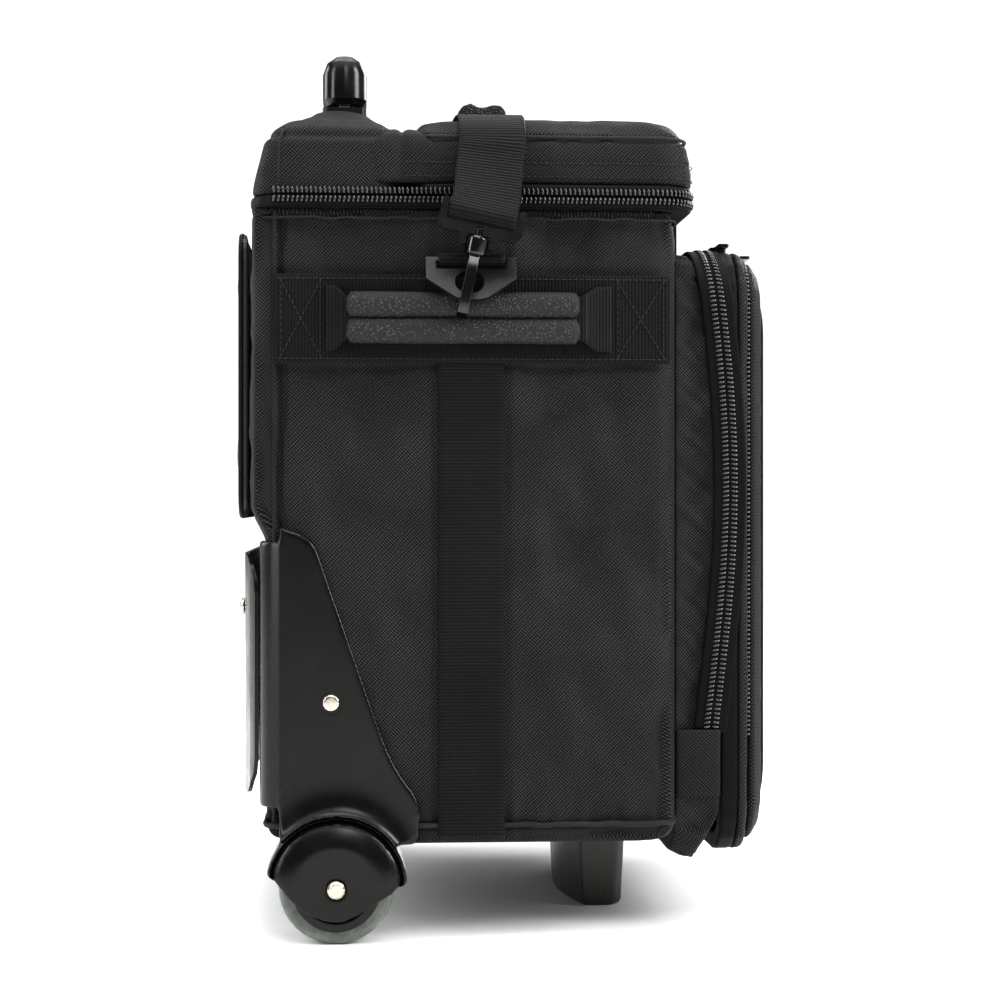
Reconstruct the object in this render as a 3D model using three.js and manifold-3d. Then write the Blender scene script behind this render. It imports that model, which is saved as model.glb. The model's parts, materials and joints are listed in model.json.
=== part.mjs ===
// A single-ball roller bag for bowling: padded fabric body with a hinged lid, a shoe pocket
// and an accessory pocket on the front, two wheels, a front foot and a telescopic handle.
//
// Millimetres. +Z is up, -Y is the front (the shoe pocket), +Y the back (the trolley and
// wheels), X runs across the width. The pieces are drawn from a working line between the
// ball's centre and the back, and CENTRE_SHIFT then moves them all along Y, so that the
// origin is on the floor under the middle of the bag.

import * as THREE from 'three';
import { mergeVertices } from 'three/addons/utils/BufferGeometryUtils.js';
import Module from 'manifold-3d';

const wasm = await Module();
wasm.setup();

// ---- Driving dimensions -------------------------------------------------------------

const GAP = 0.3;                       // clearance left between pieces that touch
const CENTRE_SHIFT = 5.8;              // along Y, from the working line to the middle

const HALF_WIDTH = 170;                // body, across X
const FRONT_Y = -102;                  // body's front wall
const BACK_Y = 142;                    // body's padded back, above the wheel housings
const LOWER_BACK_Y = 132.5;            // body's back, between the wheel housings
const BOTTOM_Z = 55;                   // underside of the body
const RIM_Z = 414.7;                   // top edge of the body's walls
const WALL = 6.5;                      // padded fabric wall
const INNER_BACK_Y = 123;
const PADDED_BACK_Y = 130;             // inside of the back above the wheel housings
const BODY_CORNER = 14;
const INNER_CORNER = 8;

const ZIP_Z = 421.85;                  // line where the lid's zip parts
const ZIP_HEIGHT = 6.7;                // one half of the main zip, tape and coil
const ZIP_HALF_WIDTH = 173;
const LID_FRONT_Y = -112;
const HINGE_Y = 55;                    // crease between the lid and the fixed rear top
const ZIP_CORNER = 20;
const TAPE_INNER_X = 162;              // inner edge of the zip's tape
const TAPE_INNER_FRONT_Y = -98;

const BALL_RADIUS = 109;
const BALL_CENTRE = [0, 13.75, 182];

const AXLE_Y = 92;
const WHEEL_RADIUS = 32.5;
const WHEEL_X = 163;                   // middle plane of a wheel
const WHEEL_HALF_WIDTH = 11.5;
const AXLE_RADIUS = 4;
const FENDER_RADIUS = 40;
const FENDER_INNER_X = 146;
const FENDER_OUTER_X = 182;
const FENDER_WALL = 3.1;
const HOUSING_THICKNESS = 2.9;         // of each side plate and corner wrap
const RIVET_AT = [95, 136];            // Y, Z of the rivet in each side plate
const CORNER_AT = [156, 118.5];        // X, Y of the body's lower back corner
const BACK_RIVET = [118, 188];         // X, Z of each rivet in the back plate

const TUBE_X = 98;                     // centre of each telescopic tube
const TUBE_Y = 88;
const TUBE_BOTTOM_Z = 67;
const TUBE_TOP_Z = 455;
const BEZEL_TOP_Z = 482;
const GRIP_BOTTOM_Z = 484.3;
const GRIP_TOP_Z = 514;

const POCKET_HALF_WIDTH = 152;         // shoe pocket, across X
const POCKET_BOTTOM_Z = 52;
const POCKET_TOP_Z = 397;
const POCKET_CORNER = 34;
const GUSSET_FRONT_Y = -129.5;
const SHOE_ZIP_FRONT_Y = -139.7;
const DOOR_FRONT_Y = -146;
const FLAP_INSET = 6;                  // accessory pocket's outline inside the shoe pocket's
const FLAP_CROWN_Y = -162;

const BAND_Z = 352;                    // middle of the webbing band round the side
const BAND_WIDTH = 50;
const BAND_X = 172.4;                  // inner face of that band
const WEBBING = 1.7;                   // webbing thickness
const SIDE_WEBBING_Y = 16;
const SIDE_WEBBING_WIDTH = 37.5;

const RING_PIVOT = [176.5, 385];       // X, Z of the ring plate's top bar
const RING_TILT = THREE.MathUtils.degToRad(33);
const RING_Y = 16.5;
const RING_LENGTH = 29;                // from the top bar's centre to the rim

const HOOK_CENTRE = [190.8, 13.5, 394];  // middle of the swivel barrel, on the +X side
const HOOK_LEAN = THREE.MathUtils.degToRad(12);
const STRAP_Y = 4;
const STRAP_WIDTH = 38;
const STRAP_GRIP_HALF = 65;
const HANDLE_X = 180.3;                // middle of the handle's webbing inside its grip
const MAIN_SLIDER_X = 40;

// ---- Materials ----------------------------------------------------------------------

const material = (color, roughness, metalness = 0) =>
  new THREE.MeshStandardMaterial({ color, roughness, metalness });

const FABRIC = material(0x29292b, 0.85);
const SMOOTH_FABRIC = material(0x333331, 0.6);
const WEB = material(0x1d1e1d, 0.8);
const RUBBER_GRIP = material(0x161616, 0.55);
const PLASTIC = material(0x2d2e2b, 0.45);
const BLACK_PLASTIC = material(0x151516, 0.35);
const ZIP = material(0x0c0c0c, 0.3);
const METAL = material(0xcdbca6, 0.25, 1);
const TUBE_METAL = material(0x8f9194, 0.35, 1);
const TYRE = material(0x555f57, 0.4);
const FOAM = material(0x3b3b3d, 0.95);
const BOARD = material(0x202021, 0.8);

// ---- Geometry helpers ---------------------------------------------------------------

const bag = new THREE.Group();

function weld(geometry) {
  const bare = geometry.clone();
  for (const name of ['normal', 'uv']) bare.deleteAttribute(name);
  const merged = mergeVertices(bare, 1e-4);
  const kept = [];
  const index = merged.index.array;
  for (let i = 0; i < index.length; i += 3) {
    const [a, b, c] = [index[i], index[i + 1], index[i + 2]];
    if (a !== b && b !== c && c !== a) kept.push(a, b, c);
  }
  merged.setIndex(kept);
  return merged;
}

function signedVolume(geometry) {
  const p = geometry.attributes.position;
  const corner = [0, 1, 2].map(() => new THREE.Vector3());
  let volume = 0;
  for (let i = 0; i < geometry.index.count; i += 3) {
    corner.forEach((v, k) => v.fromBufferAttribute(p, geometry.index.getX(i + k)));
    volume += corner[0].dot(corner[1].clone().cross(corner[2])) / 6;
  }
  return volume;
}

function facingOut(geometry) {
  const welded = weld(geometry);
  if (signedVolume(welded) < 0) welded.setIndex([...welded.index.array].reverse());
  return welded;
}

function mirrored(geometry) {
  return facingOut(geometry.clone().applyMatrix4(new THREE.Matrix4().makeScale(-1, 1, 1)));
}

function toSolid(geometry) {
  const g = facingOut(geometry);
  return new wasm.Manifold(new wasm.Mesh({
    numProp: 3,
    vertProperties: new Float32Array(g.attributes.position.array),
    triVerts: new Uint32Array(g.index.array),
  }));
}

function toGeometry(solid) {
  const mesh = solid.getMesh();
  const geometry = new THREE.BufferGeometry();
  geometry.setAttribute('position', new THREE.BufferAttribute(mesh.vertProperties, 3));
  geometry.setIndex([...mesh.triVerts]);
  return geometry;
}

const join = (...pieces) => toGeometry(pieces.map(toSolid).reduce((a, b) => a.add(b)));
const cut = (piece, ...tools) =>
  toGeometry(tools.map(toSolid).reduce((a, b) => a.subtract(b), toSolid(piece)));
const common = (a, b) => toGeometry(toSolid(a).intersect(toSolid(b)));

// A ring of points round a rectangle with round corners, level in Z ('XY') or in Y ('XZ').
function roundRing([u0, u1, v0, v1], radius, level, plane = 'XY', segments = 4) {
  const points = [];
  const corners = [[u1, v1, 0], [u0, v1, 1], [u0, v0, 2], [u1, v0, 3]];
  for (const [u, v, quarter] of corners) {
    const cu = u + (u === u1 ? -radius : radius);
    const cv = v + (v === v1 ? -radius : radius);
    for (let i = 0; i <= segments; i++) {
      const angle = (quarter + i / segments) * Math.PI / 2;
      const a = cu + radius * Math.cos(angle);
      const b = cv + radius * Math.sin(angle);
      points.push(plane === 'XY' ? [a, b, level] : [a, level, b]);
    }
  }
  return points;
}

function capFaces(ring, offset) {
  const spans = [0, 1, 2].map((k) => {
    const values = ring.map((p) => p[k]);
    return Math.max(...values) - Math.min(...values);
  });
  const [u, v] = [0, 1, 2].filter((k) => k !== spans.indexOf(Math.min(...spans)));
  const flat = ring.map((p) => new THREE.Vector2(p[u], p[v]));
  return THREE.ShapeUtils.triangulateShape(flat, []).map((f) => f.map((i) => i + offset));
}

// A closed solid through rings of equal point count. A loop joins the last ring to the first.
function loft(rings, loop = false) {
  const count = rings[0].length;
  const index = [];
  const steps = loop ? rings.length : rings.length - 1;
  for (let i = 0; i < steps; i++) {
    const a = i * count;
    const b = ((i + 1) % rings.length) * count;
    for (let j = 0; j < count; j++) {
      const k = (j + 1) % count;
      index.push(a + j, a + k, b + k, a + j, b + k, b + j);
    }
  }
  if (!loop) addCaps(rings, index);
  const geometry = new THREE.BufferGeometry();
  geometry.setAttribute('position', new THREE.Float32BufferAttribute(rings.flat(2), 3));
  geometry.setIndex(index);
  return facingOut(geometry);
}

// Winds each cap to run against the side faces, whichever way the triangulation turned.
function addCaps(rings, index) {
  const count = rings[0].length;
  const lastOffset = (rings.length - 1) * count;
  const first = capFaces(rings[0], 0);
  const last = capFaces(rings.at(-1), lastOffset);
  const edgeForward = (faces, from, to) => faces.some((f) =>
    f.some((v, i) => v === from && f[(i + 1) % 3] === to));
  const flip = (faces) => faces.map((f) => [...f].reverse());
  const bottom = edgeForward(first, 0, 1) ? flip(first) : first;
  const top = edgeForward(last, lastOffset, lastOffset + 1) ? last : flip(last);
  for (const face of [...bottom, ...top]) index.push(...face);
}

const prism = (box, radius, z0, z1) =>
  loft([roundRing(box, radius, z0), roundRing(box, radius, z1)]);

const slabY = (box, radius, y0, y1) =>
  loft([roundRing(box, radius, y0, 'XZ'), roundRing(box, radius, y1, 'XZ')]);

function ringBand(outer, inner, radius, a, b, plane = 'XY') {
  const innerRadius = Math.max(radius - 8, 2);
  return loft([
    roundRing(outer, radius, a, plane), roundRing(outer, radius, b, plane),
    roundRing(inner, innerRadius, b, plane), roundRing(inner, innerRadius, a, plane),
  ], true);
}

const AXES = {
  X: [new THREE.Vector3(0, 1, 0), new THREE.Vector3(0, 0, 1), new THREE.Vector3(1, 0, 0)],
  Y: [new THREE.Vector3(0, 0, 1), new THREE.Vector3(1, 0, 0), new THREE.Vector3(0, 1, 0)],
  Z: [new THREE.Vector3(1, 0, 0), new THREE.Vector3(0, 1, 0), new THREE.Vector3(0, 0, 1)],
};

// Extrudes an outline along an axis. Its two coordinates are (Y, Z) for X, (Z, X) for Y.
function extrude(shape, axis, from, to, curveSegments = 6) {
  const points = shape.extractPoints(curveSegments);
  const clockwise = THREE.ShapeUtils.isClockWise;
  const wound = new THREE.Shape(clockwise(points.shape) ? points.shape.reverse() : points.shape);
  wound.holes = points.holes.map((h) => new THREE.Path(clockwise(h) ? h : h.reverse()));
  const geometry = new THREE.ExtrudeGeometry(wound, { depth: to - from, bevelEnabled: false });
  geometry.translate(0, 0, from);
  return geometry.applyMatrix4(new THREE.Matrix4().makeBasis(...AXES[axis]));
}

const outline = (points) => new THREE.Shape(points.map(([u, v]) => new THREE.Vector2(u, v)));

// Turns a profile of (radius, height) pairs round the X axis through (y, z).
function turnedX(profile, [y, z], segments = 32) {
  const points = profile.map(([r, h]) => new THREE.Vector2(r, h));
  return new THREE.LatheGeometry(points, segments).rotateZ(-Math.PI / 2).translate(0, y, z);
}

// A flat strip through stations { p, width, lean }, whose width runs along `across`
// leaned about X, and whose thickness is square to its path.
function ribbon(stations, across, thickness) {
  const path = stations.map((s) => new THREE.Vector3(...s.p));
  const rings = stations.map((s, i) => {
    const before = path[Math.max(i - 1, 0)];
    const after = path[Math.min(i + 1, path.length - 1)];
    const side = across.clone().applyAxisAngle(AXES.X[2], s.lean ?? 0);
    const up = after.clone().sub(before).cross(side).normalize().multiplyScalar(thickness / 2);
    side.multiplyScalar(s.width / 2);
    return [[1, 1], [-1, 1], [-1, -1], [1, -1]].map(([a, b]) =>
      path[i].clone().addScaledVector(side, a).addScaledVector(up, b).toArray());
  });
  return loft(rings);
}

function add(name, geometry, look) {
  const mesh = new THREE.Mesh(facingOut(geometry), look);
  mesh.name = name;
  bag.add(mesh);
}

// A piece of the +X side, and its mirror image on the -X side.
function addPair(name, geometry, look) {
  add(`${name}_right`, geometry, look);
  add(`${name}_left`, mirrored(geometry), look);
}

// ---- Body ---------------------------------------------------------------------------

const bodyBox = (inset, backY) =>
  [-HALF_WIDTH + inset, HALF_WIDTH - inset, FRONT_Y + inset, backY - inset];

function bodyShell() {
  const outer = [[BOTTOM_Z, 7, LOWER_BACK_Y], [57.5, 2.5, LOWER_BACK_Y], [63, 0, LOWER_BACK_Y],
    [228, 0, LOWER_BACK_Y], [246, 0, BACK_Y], [RIM_Z, 0, BACK_Y]];
  const inner = [[RIM_Z, PADDED_BACK_Y], [246, PADDED_BACK_Y], [228, INNER_BACK_Y],
    [BOTTOM_Z + 7, INNER_BACK_Y]];
  const shell = loft([
    ...outer.map(([z, inset, back]) => roundRing(bodyBox(inset, back), BODY_CORNER, z)),
    ...inner.map(([z, back]) => roundRing(
      [WALL - HALF_WIDTH, HALF_WIDTH - WALL, FRONT_Y + WALL, back], INNER_CORNER, z)),
  ]);
  const well = prism([144.5, 190, 50.5, 160], 2, 40, 74);
  return cut(shell, well, mirrored(well));
}

function ballCradle() {
  const block = prism([-82, 82, FRONT_Y + 8, INNER_BACK_Y - 2], 10, 66.8, 118);
  const ball = new THREE.SphereGeometry(BALL_RADIUS + 1, 28, 18).translate(...BALL_CENTRE);
  return cut(block, ball);
}

// ---- Lid and fixed rear top ---------------------------------------------------------

const crowned = (rings) => loft(rings.map(([z, x, y0, y1, r]) => roundRing([-x, x, y0, y1], r, z)));

function lidShell() {
  const rear = HINGE_Y - GAP;
  return crowned([
    [466, 110, -66, 20, 10], [460, 145, -90, 40, 12], [ZIP_Z + 7.15, 163, -104, 47, 10],
    [ZIP_Z + 7.15, 170.5, LID_FRONT_Y, rear, 18], [440, 170.5, LID_FRONT_Y, rear, 18],
    [452, 169.5, -110, rear, 18], [459, 165.5, -107, 51.5, 18], [466, 157, -101, 45, 17],
    [470, 141, -90, 38, 15], [474.5, 114, -66, 27, 13], [478, 78, -45, 15, 10],
    [480, 40, -25, 5, 6],
  ]);
}

function rearTop() {
  const front = HINGE_Y + GAP;
  const shell = crowned([
    [462, 140, 72, 110, 8], [455, 156, 65, 124, 8], [ZIP_Z + 0.15, 162, 63.5, 131, 8],
    [ZIP_Z + 0.15, 170, front, 140, 14], [437, 170, front, 137, 14],
    [452, 169.5, front, 133.5, 14], [461, 165, 59, 128, 15], [466, 157, 64, 121.5, 15],
    [470, 141, 69, 115, 13], [474.5, 125, 73, 109, 10], [478, 119, 77, 104, 8],
  ]);
  return cut(shell, prism([-113, 113, 74.7, 101.3], 4, 415, 500));
}

// One half of the main zip: a band whose back edge is at outerBack, its tape's at innerBack.
const zipBand = (outerBack, innerBack, z) => ringBand(
  [-ZIP_HALF_WIDTH, ZIP_HALF_WIDTH, LID_FRONT_Y, outerBack],
  [-TAPE_INNER_X, TAPE_INNER_X, TAPE_INNER_FRONT_Y, innerBack], ZIP_CORNER, z, z + ZIP_HEIGHT);

// ---- Trolley ------------------------------------------------------------------------

const tubeBox = (halfX, halfY) =>
  [TUBE_X - halfX, TUBE_X + halfX, TUBE_Y - halfY, TUBE_Y + halfY];

const tube = (halfX, halfY, wall, z0, z1) => loft([
  roundRing(tubeBox(halfX, halfY), 3, z0, 'XY', 2), roundRing(tubeBox(halfX, halfY), 3, z1, 'XY', 2),
  roundRing(tubeBox(halfX - wall, halfY - wall), 2, z1, 'XY', 2),
  roundRing(tubeBox(halfX - wall, halfY - wall), 2, z0, 'XY', 2),
], true);

function bezel() {
  const block = prism([-112.7, 112.7, 75, 101], 4, TUBE_TOP_Z + GAP, BEZEL_TOP_Z);
  const hole = prism(tubeBox(9.8, 5.8), 3, TUBE_TOP_Z - 5, BEZEL_TOP_Z + 5);
  return cut(block, hole, mirrored(hole));
}

function trolleyGrip() {
  const at = (z, halfX, halfY) =>
    roundRing([-halfX, halfX, TUBE_Y - halfY, TUBE_Y + halfY], halfY - 0.5, z, 'XY', 5);
  const body = loft([at(GRIP_BOTTOM_Z, 110, 11), at(488, 112, 13), at(503, 112, 13),
    at(510, 109, 10.5), at(GRIP_TOP_Z, 103, 5)]);
  return cut(body, prism([-16, 16, TUBE_Y - 5, TUBE_Y + 5], 3, 501, 520));
}

// ---- Wheels -------------------------------------------------------------------------

const AXLE_AT = [AXLE_Y, WHEEL_RADIUS];

function wheelHub() {
  const half = [[4.4, 11], [8, 11], [8, 7], [20, 7], [20, 10], [21.9, 10]];
  const other = half.map(([r, h]) => [r, -h]).reverse();
  return turnedX([...half, ...other, half[0]], AXLE_AT, 24).translate(WHEEL_X, 0, 0);
}

function tyre() {
  const half = [[22.2, 10.5], [29.5, WHEEL_HALF_WIDTH], [31.8, 10.2], [WHEEL_RADIUS, 7.5]];
  const other = half.map(([r, h]) => [r, -h]).reverse();
  return turnedX([...half, ...other, half[0]], AXLE_AT, 40).translate(WHEEL_X, 0, 0);
}

function axle() {
  const profile = [[0, 144.8], [6, 144.8], [6, 145.7], [AXLE_RADIUS, 145.7],
    [AXLE_RADIUS, 182.3], [5.2, 182.3], [5.2, 184.2], [3.6, 185.8], [0, 185.8]];
  return turnedX(profile, AXLE_AT, 20);
}

function fenderRing(x, radius) {
  const arc = [];
  const steps = 16;
  for (let i = 0; i <= steps; i++) {
    const angle = THREE.MathUtils.degToRad(177 - 166 * i / steps);
    arc.push([x, AXLE_Y + radius * Math.cos(angle), WHEEL_RADIUS + radius * Math.sin(angle)]);
  }
  const lower = [[124, 33.5], [117.5, 26], [108, 18.5], [98.3, 14.4], [88.7, 13.8],
    [80, 17.5], [71.2, 23.2], [60.5, 29]];
  return [...arc, ...lower.map(([y, z]) => [x, y, z])];
}

const fender = () => loft([
  fenderRing(FENDER_INNER_X, FENDER_RADIUS), fenderRing(176, FENDER_RADIUS),
  fenderRing(180.5, 37.5), fenderRing(FENDER_OUTER_X, 34.6),
]);

function sidePlate() {
  const shape = new THREE.Shape();
  shape.moveTo(124, 235);
  shape.lineTo(114, 232);
  shape.quadraticCurveTo(104, 228, 101, 217);
  shape.lineTo(67, 119);
  shape.quadraticCurveTo(60, 99, 50, 87);
  shape.quadraticCurveTo(44.8, 80, 44.6, 72);
  shape.lineTo(45.5, 60);
  shape.lineTo(48.6, 55.3);
  shape.lineTo(124, 55.3);
  const rivetHole = new THREE.Path();
  rivetHole.absarc(...RIVET_AT, 3, 0, 2 * Math.PI, true);
  shape.holes.push(rivetHole);
  return extrude(shape, 'X', HALF_WIDTH + 0.4, HALF_WIDTH + 0.4 + HOUSING_THICKNESS, 8);
}

function cornerWrap() {
  const [cx, cy] = CORNER_AT;
  const inner = BODY_CORNER + 0.4;
  const outer = inner + HOUSING_THICKNESS;
  const shape = new THREE.Shape();
  shape.moveTo(cx + inner, 110);
  shape.absarc(cx, cy, inner, 0, Math.PI / 2, false);
  shape.lineTo(132, cy + inner);
  shape.lineTo(132, cy + outer);
  shape.absarc(cx, cy, outer, Math.PI / 2, 0, true);
  shape.lineTo(cx + outer, 110);
  return extrude(shape, 'Z', 76, 227);
}

function wheelHousing() {
  const round = (r, from, to) => turnedX([[0, from], [r, from], [r, to], [0, to]], AXLE_AT, 32);
  const wheelSpace = round(35.8, FENDER_INNER_X + FENDER_WALL, FENDER_OUTER_X - FENDER_WALL);
  const axleHole = round(4.5, 140, 190);
  return cut(join(sidePlate(), cornerWrap(), fender()), wheelSpace, axleHole);
}

function rivet(seat) {
  const profile = [[0, seat - 3], [2.6, seat - 3], [2.6, seat], [5, seat], [4.6, seat + 1.4],
    [3, seat + 2.2], [0, seat + 2.2]];
  return turnedX(profile, [0, 0], 16);
}

// ---- Back ---------------------------------------------------------------------------

// A bowed sheet across the back: half outline as (X, outer Y), mirrored about X = 0.
function bowedSheet(half, thickness, z0, z1, corner) {
  const outer = [...half.map(([x, y]) => [-x, y]), ...[...half].reverse()];
  const inner = outer.map(([x, y]) => [x, y - thickness]).reverse();
  const sheet = extrude(outline([...outer, ...inner]), 'Z', z0, z1);
  const edge = half[0][0];
  return common(sheet, slabY([-edge, edge, z0, z1], corner, 100, 170));
}

function backPlate() {
  const plate = bowedSheet([[156, 138.5], [150, 141.5], [135, 144.5], [105, 146.8]],
    2.3, 81, 219, 22);
  const hole = rivetHoleY();
  return cut(plate, hole, mirrored(hole));
}

function rivetHoleY() {
  const [x, z] = BACK_RIVET;
  return new THREE.CylinderGeometry(3, 3, 30, 16).translate(x, 145, z);
}

function backRivet() {
  const [x, z] = BACK_RIVET;
  return rivet(0).rotateZ(Math.PI / 2).translate(x, 146.4, z);
}

// ---- Front foot ---------------------------------------------------------------------

function footRing(z, inset) {
  const halfX = 72 - inset;
  const points = [];
  const steps = 8;
  for (let i = 0; i <= steps; i++) {
    const t = -1 + 2 * i / steps;
    points.push([halfX * t, -55 - inset + 12 * (1 - t * t), z]);
  }
  const front = -84.5 + inset;
  points.push([halfX, front + 5, z], [halfX - 5, front, z]);
  points.push([5 - halfX, front, z], [-halfX, front + 5, z]);
  return points;
}

const frontFoot = () => loft([footRing(0, 5), footRing(2.5, 2.5), footRing(BOTTOM_Z - GAP, 0)]);

// ---- Side webbing, handles and ring plates ------------------------------------------

const ALONG_Y = new THREE.Vector3(0, 1, 0);
const ALONG_Z = new THREE.Vector3(0, 0, 1);

// Runs up the side, over the ring plate's top bar and back in through its slot.
function sideWebbing() {
  const [px, pz] = RING_PIVOT;
  const radius = 3.3;
  const path = [[171.25, 60], [171.25, 376], [171.9, 381]];
  for (let degrees = 180; degrees >= -60; degrees -= 30) {
    const a = THREE.MathUtils.degToRad(degrees);
    path.push([px + radius * Math.cos(a), pz + radius * Math.sin(a)]);
  }
  path.push([175.2, 380.6]);
  const stations = path.map(([x, z]) => ({ p: [x, SIDE_WEBBING_Y, z], width: SIDE_WEBBING_WIDTH }));
  return ribbon(stations, ALONG_Y, WEBBING);
}

const sideBand = () => extrude(outline([
  [-97, BAND_Z - BAND_WIDTH / 2], [127, BAND_Z - BAND_WIDTH / 2],
  [127, BAND_Z + BAND_WIDTH / 2], [-97, BAND_Z + BAND_WIDTH / 2]]), 'X', BAND_X, BAND_X + 1.5);

function sideHandle() {
  const path = [[97, 175.4, 38], [92, 177, 36], [87.6, 179.9, 23], [80, HANDLE_X, 23],
    [-38, HANDLE_X, 23], [-46, 179.9, 23], [-53, 177.2, 36], [-63, 175.4, 38]];
  return ribbon(path.map(([y, x, width]) => ({ p: [x, y, BAND_Z], width })), ALONG_Z, 1.8);
}

// Two rolls side by side round the webbing, with a slot for it.
function sideGrip() {
  const [rx, rz, offset] = [3.8, 9, 5.6];
  const dip = Math.asin(offset / rz);
  const shape = new THREE.Shape();
  shape.absellipse(BAND_Z + offset, HANDLE_X, rz, rx, -Math.PI / 2 - dip, Math.PI / 2 + dip);
  shape.absellipse(BAND_Z - offset, HANDLE_X, rz, rx, Math.PI / 2 - dip, 1.5 * Math.PI + dip);
  const slot = [[-12.3, -1.4], [12.3, -1.4], [12.3, 1.4], [-12.3, 1.4]];
  shape.holes.push(new THREE.Path(slot.map(([z, x]) =>
    new THREE.Vector2(BAND_Z + z, HANDLE_X + x))));
  return extrude(shape, 'Y', -44.6, 86.4, 10);
}

function ringPlate() {
  const along = (d) => -d;
  const shape = outline([[-25.5, along(-1.4)], [25.5, along(-1.4)], [25.5, along(14)],
    [9, along(27.4)], [4, along(RING_LENGTH)], [-4, along(RING_LENGTH)], [-9, along(27.4)],
    [-25.5, along(14)]]);
  const slot = [[-19.8, along(1.4)], [19.8, along(1.4)], [19.8, along(7.2)], [-19.8, along(7.2)]];
  shape.holes.push(new THREE.Path(slot.map(([y, z]) => new THREE.Vector2(y, z))));
  const eye = new THREE.Path();
  eye.absarc(1.2, along(16.5), 8.2, 0, 2 * Math.PI, true);
  shape.holes.push(eye);
  return extrude(shape, 'X', -1.2, 1.2, 10)
    .applyMatrix4(new THREE.Matrix4().makeRotationY(-RING_TILT))
    .translate(RING_PIVOT[0], RING_Y, RING_PIVOT[1]);
}

// ---- Snap hooks ---------------------------------------------------------------------

const placeHook = (geometry) => geometry
  .applyMatrix4(new THREE.Matrix4().makeRotationX(HOOK_LEAN))
  .translate(...HOOK_CENTRE);

const turnedZ = (profile, segments) =>
  new THREE.LatheGeometry(profile.map(([r, h]) => new THREE.Vector2(r, h)), segments)
    .rotateX(Math.PI / 2);

// The yoke that holds the strap: arms, a pin between them, and lugs beside the barrel.
function hookFrame() {
  const right = [[7, 3], [7, -3], [10, -4.5], [11, 3], [20, 3], [23.7, 6.5], [23.7, 20],
    [22, 21.5], [19.7, 20], [19.7, 15.2]];
  const left = right.map(([y, z]) => [-y, z]).reverse();
  const shape = outline([...right, ...left]);
  const window = [[-19.7, 9], [19.7, 9], [19.7, 12.6], [-19.7, 12.6]];
  shape.holes.push(new THREE.Path(window.map(([y, z]) => new THREE.Vector2(y, z))));
  const socket = turnedZ([[0, -10], [2.4, -10], [2.4, 8], [0, 8]], 16);
  return placeHook(cut(extrude(shape, 'X', -1.8, 1.8), socket));
}

function snapHook() {
  const barrel = turnedZ([[0, -8], [5.8, -8], [6.4, -6.5], [6.4, 1.2], [5.4, 2.6], [2, 2.6],
    [2, 7.4], [0, 7.4]], 16);
  const path = [[0.5, -6.5], [3, -10.5], [4.8, -18], [4.8, -35], [3.4, -40.3], [0, -42],
    [-3.3, -40.3], [-4.7, -36.5], [-4.7, -31.5]];
  const arm = ribbon(path.map(([x, z]) => ({ p: [x, 0, z], width: 6 })), ALONG_Y, 3.2);
  return placeHook(join(barrel, arm));
}

const hookGate = () => placeHook(ribbon(
  [{ p: [-3, 0, -8.6], width: 3.8 }, { p: [-4.6, 0, -30.9], width: 3.8 }], ALONG_Y, 1.6));

// ---- Carry strap --------------------------------------------------------------------

// Goes over the lid between the two hooks, and folds round the pin of each yoke.
function carryStrap() {
  const pinZ = HOOK_CENTRE[2] + 14 * Math.cos(HOOK_LEAN);
  const pinY = HOOK_CENTRE[1] - 14 * Math.sin(HOOK_LEAN);
  const pinX = HOOK_CENTRE[0];
  const over = [[0, 482], [40, 482], [80, 480], [114, 476.6], [141, 472.5], [158, 468.3],
    [167.5, 461.5], [172.7, 453], [176, 444], [182, 431.5], [189, 419]];
  const fold = [[3.8, 2], [3.4, -1.4], [2, -3.1], [0, -3.7], [-2, -3.1], [-3.4, -1.4],
    [-3.8, 3], [-4.6, 9], [-8.5, 17]];
  const leaned = (z) => pinY - (z - pinZ) * Math.tan(HOOK_LEAN);
  const half = [
    ...over.map(([x, z]) => strapStation(x, z, leaned(419))),
    ...fold.map(([dx, dz]) => ({ p: [pinX + dx, leaned(pinZ + dz), pinZ + dz],
      width: STRAP_WIDTH, lean: HOOK_LEAN })),
  ];
  const other = half.slice(1).reverse().map((s) => ({ ...s, p: [-s.p[0], s.p[1], s.p[2]] }));
  return ribbon([...other, ...half], ALONG_Y, 1.8);
}

// The strap leans over, to line up with the hooks, between the lid's edge and the fold.
function strapStation(x, z, leanedY) {
  const share = THREE.MathUtils.clamp((453 - z) / 34, 0, 1);
  return { p: [x, THREE.MathUtils.lerp(STRAP_Y, leanedY, share), z], width: STRAP_WIDTH,
    lean: HOOK_LEAN * share };
}

const strapGrip = () => extrude(outline([
  [-10.6, 483.2], [-11, 489], [-8, 493], [-3, 493.6], [2, 492], [6, 491.8], [11, 494.4],
  [16, 492.6], [19, 488.5], [18.6, 483.2]]), 'X', -STRAP_GRIP_HALF, STRAP_GRIP_HALF);

// ---- Pockets ------------------------------------------------------------------------

const pocketBox = (inset) => [inset - POCKET_HALF_WIDTH, POCKET_HALF_WIDTH - inset,
  POCKET_BOTTOM_Z + inset, POCKET_TOP_Z - inset];

const pocketBand = (outerInset, wall, y0, y1) => ringBand(pocketBox(outerInset),
  pocketBox(outerInset + wall), POCKET_CORNER - outerInset, y0, y1, 'XZ');

const pocketRing = (inset, y) =>
  roundRing(pocketBox(inset), Math.max(POCKET_CORNER - inset, 6), y, 'XZ');

const shoeDoor = () => loft([
  pocketRing(0, SHOE_ZIP_FRONT_Y - GAP), pocketRing(0, -143.5), pocketRing(3, DOOR_FRONT_Y)]);

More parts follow.
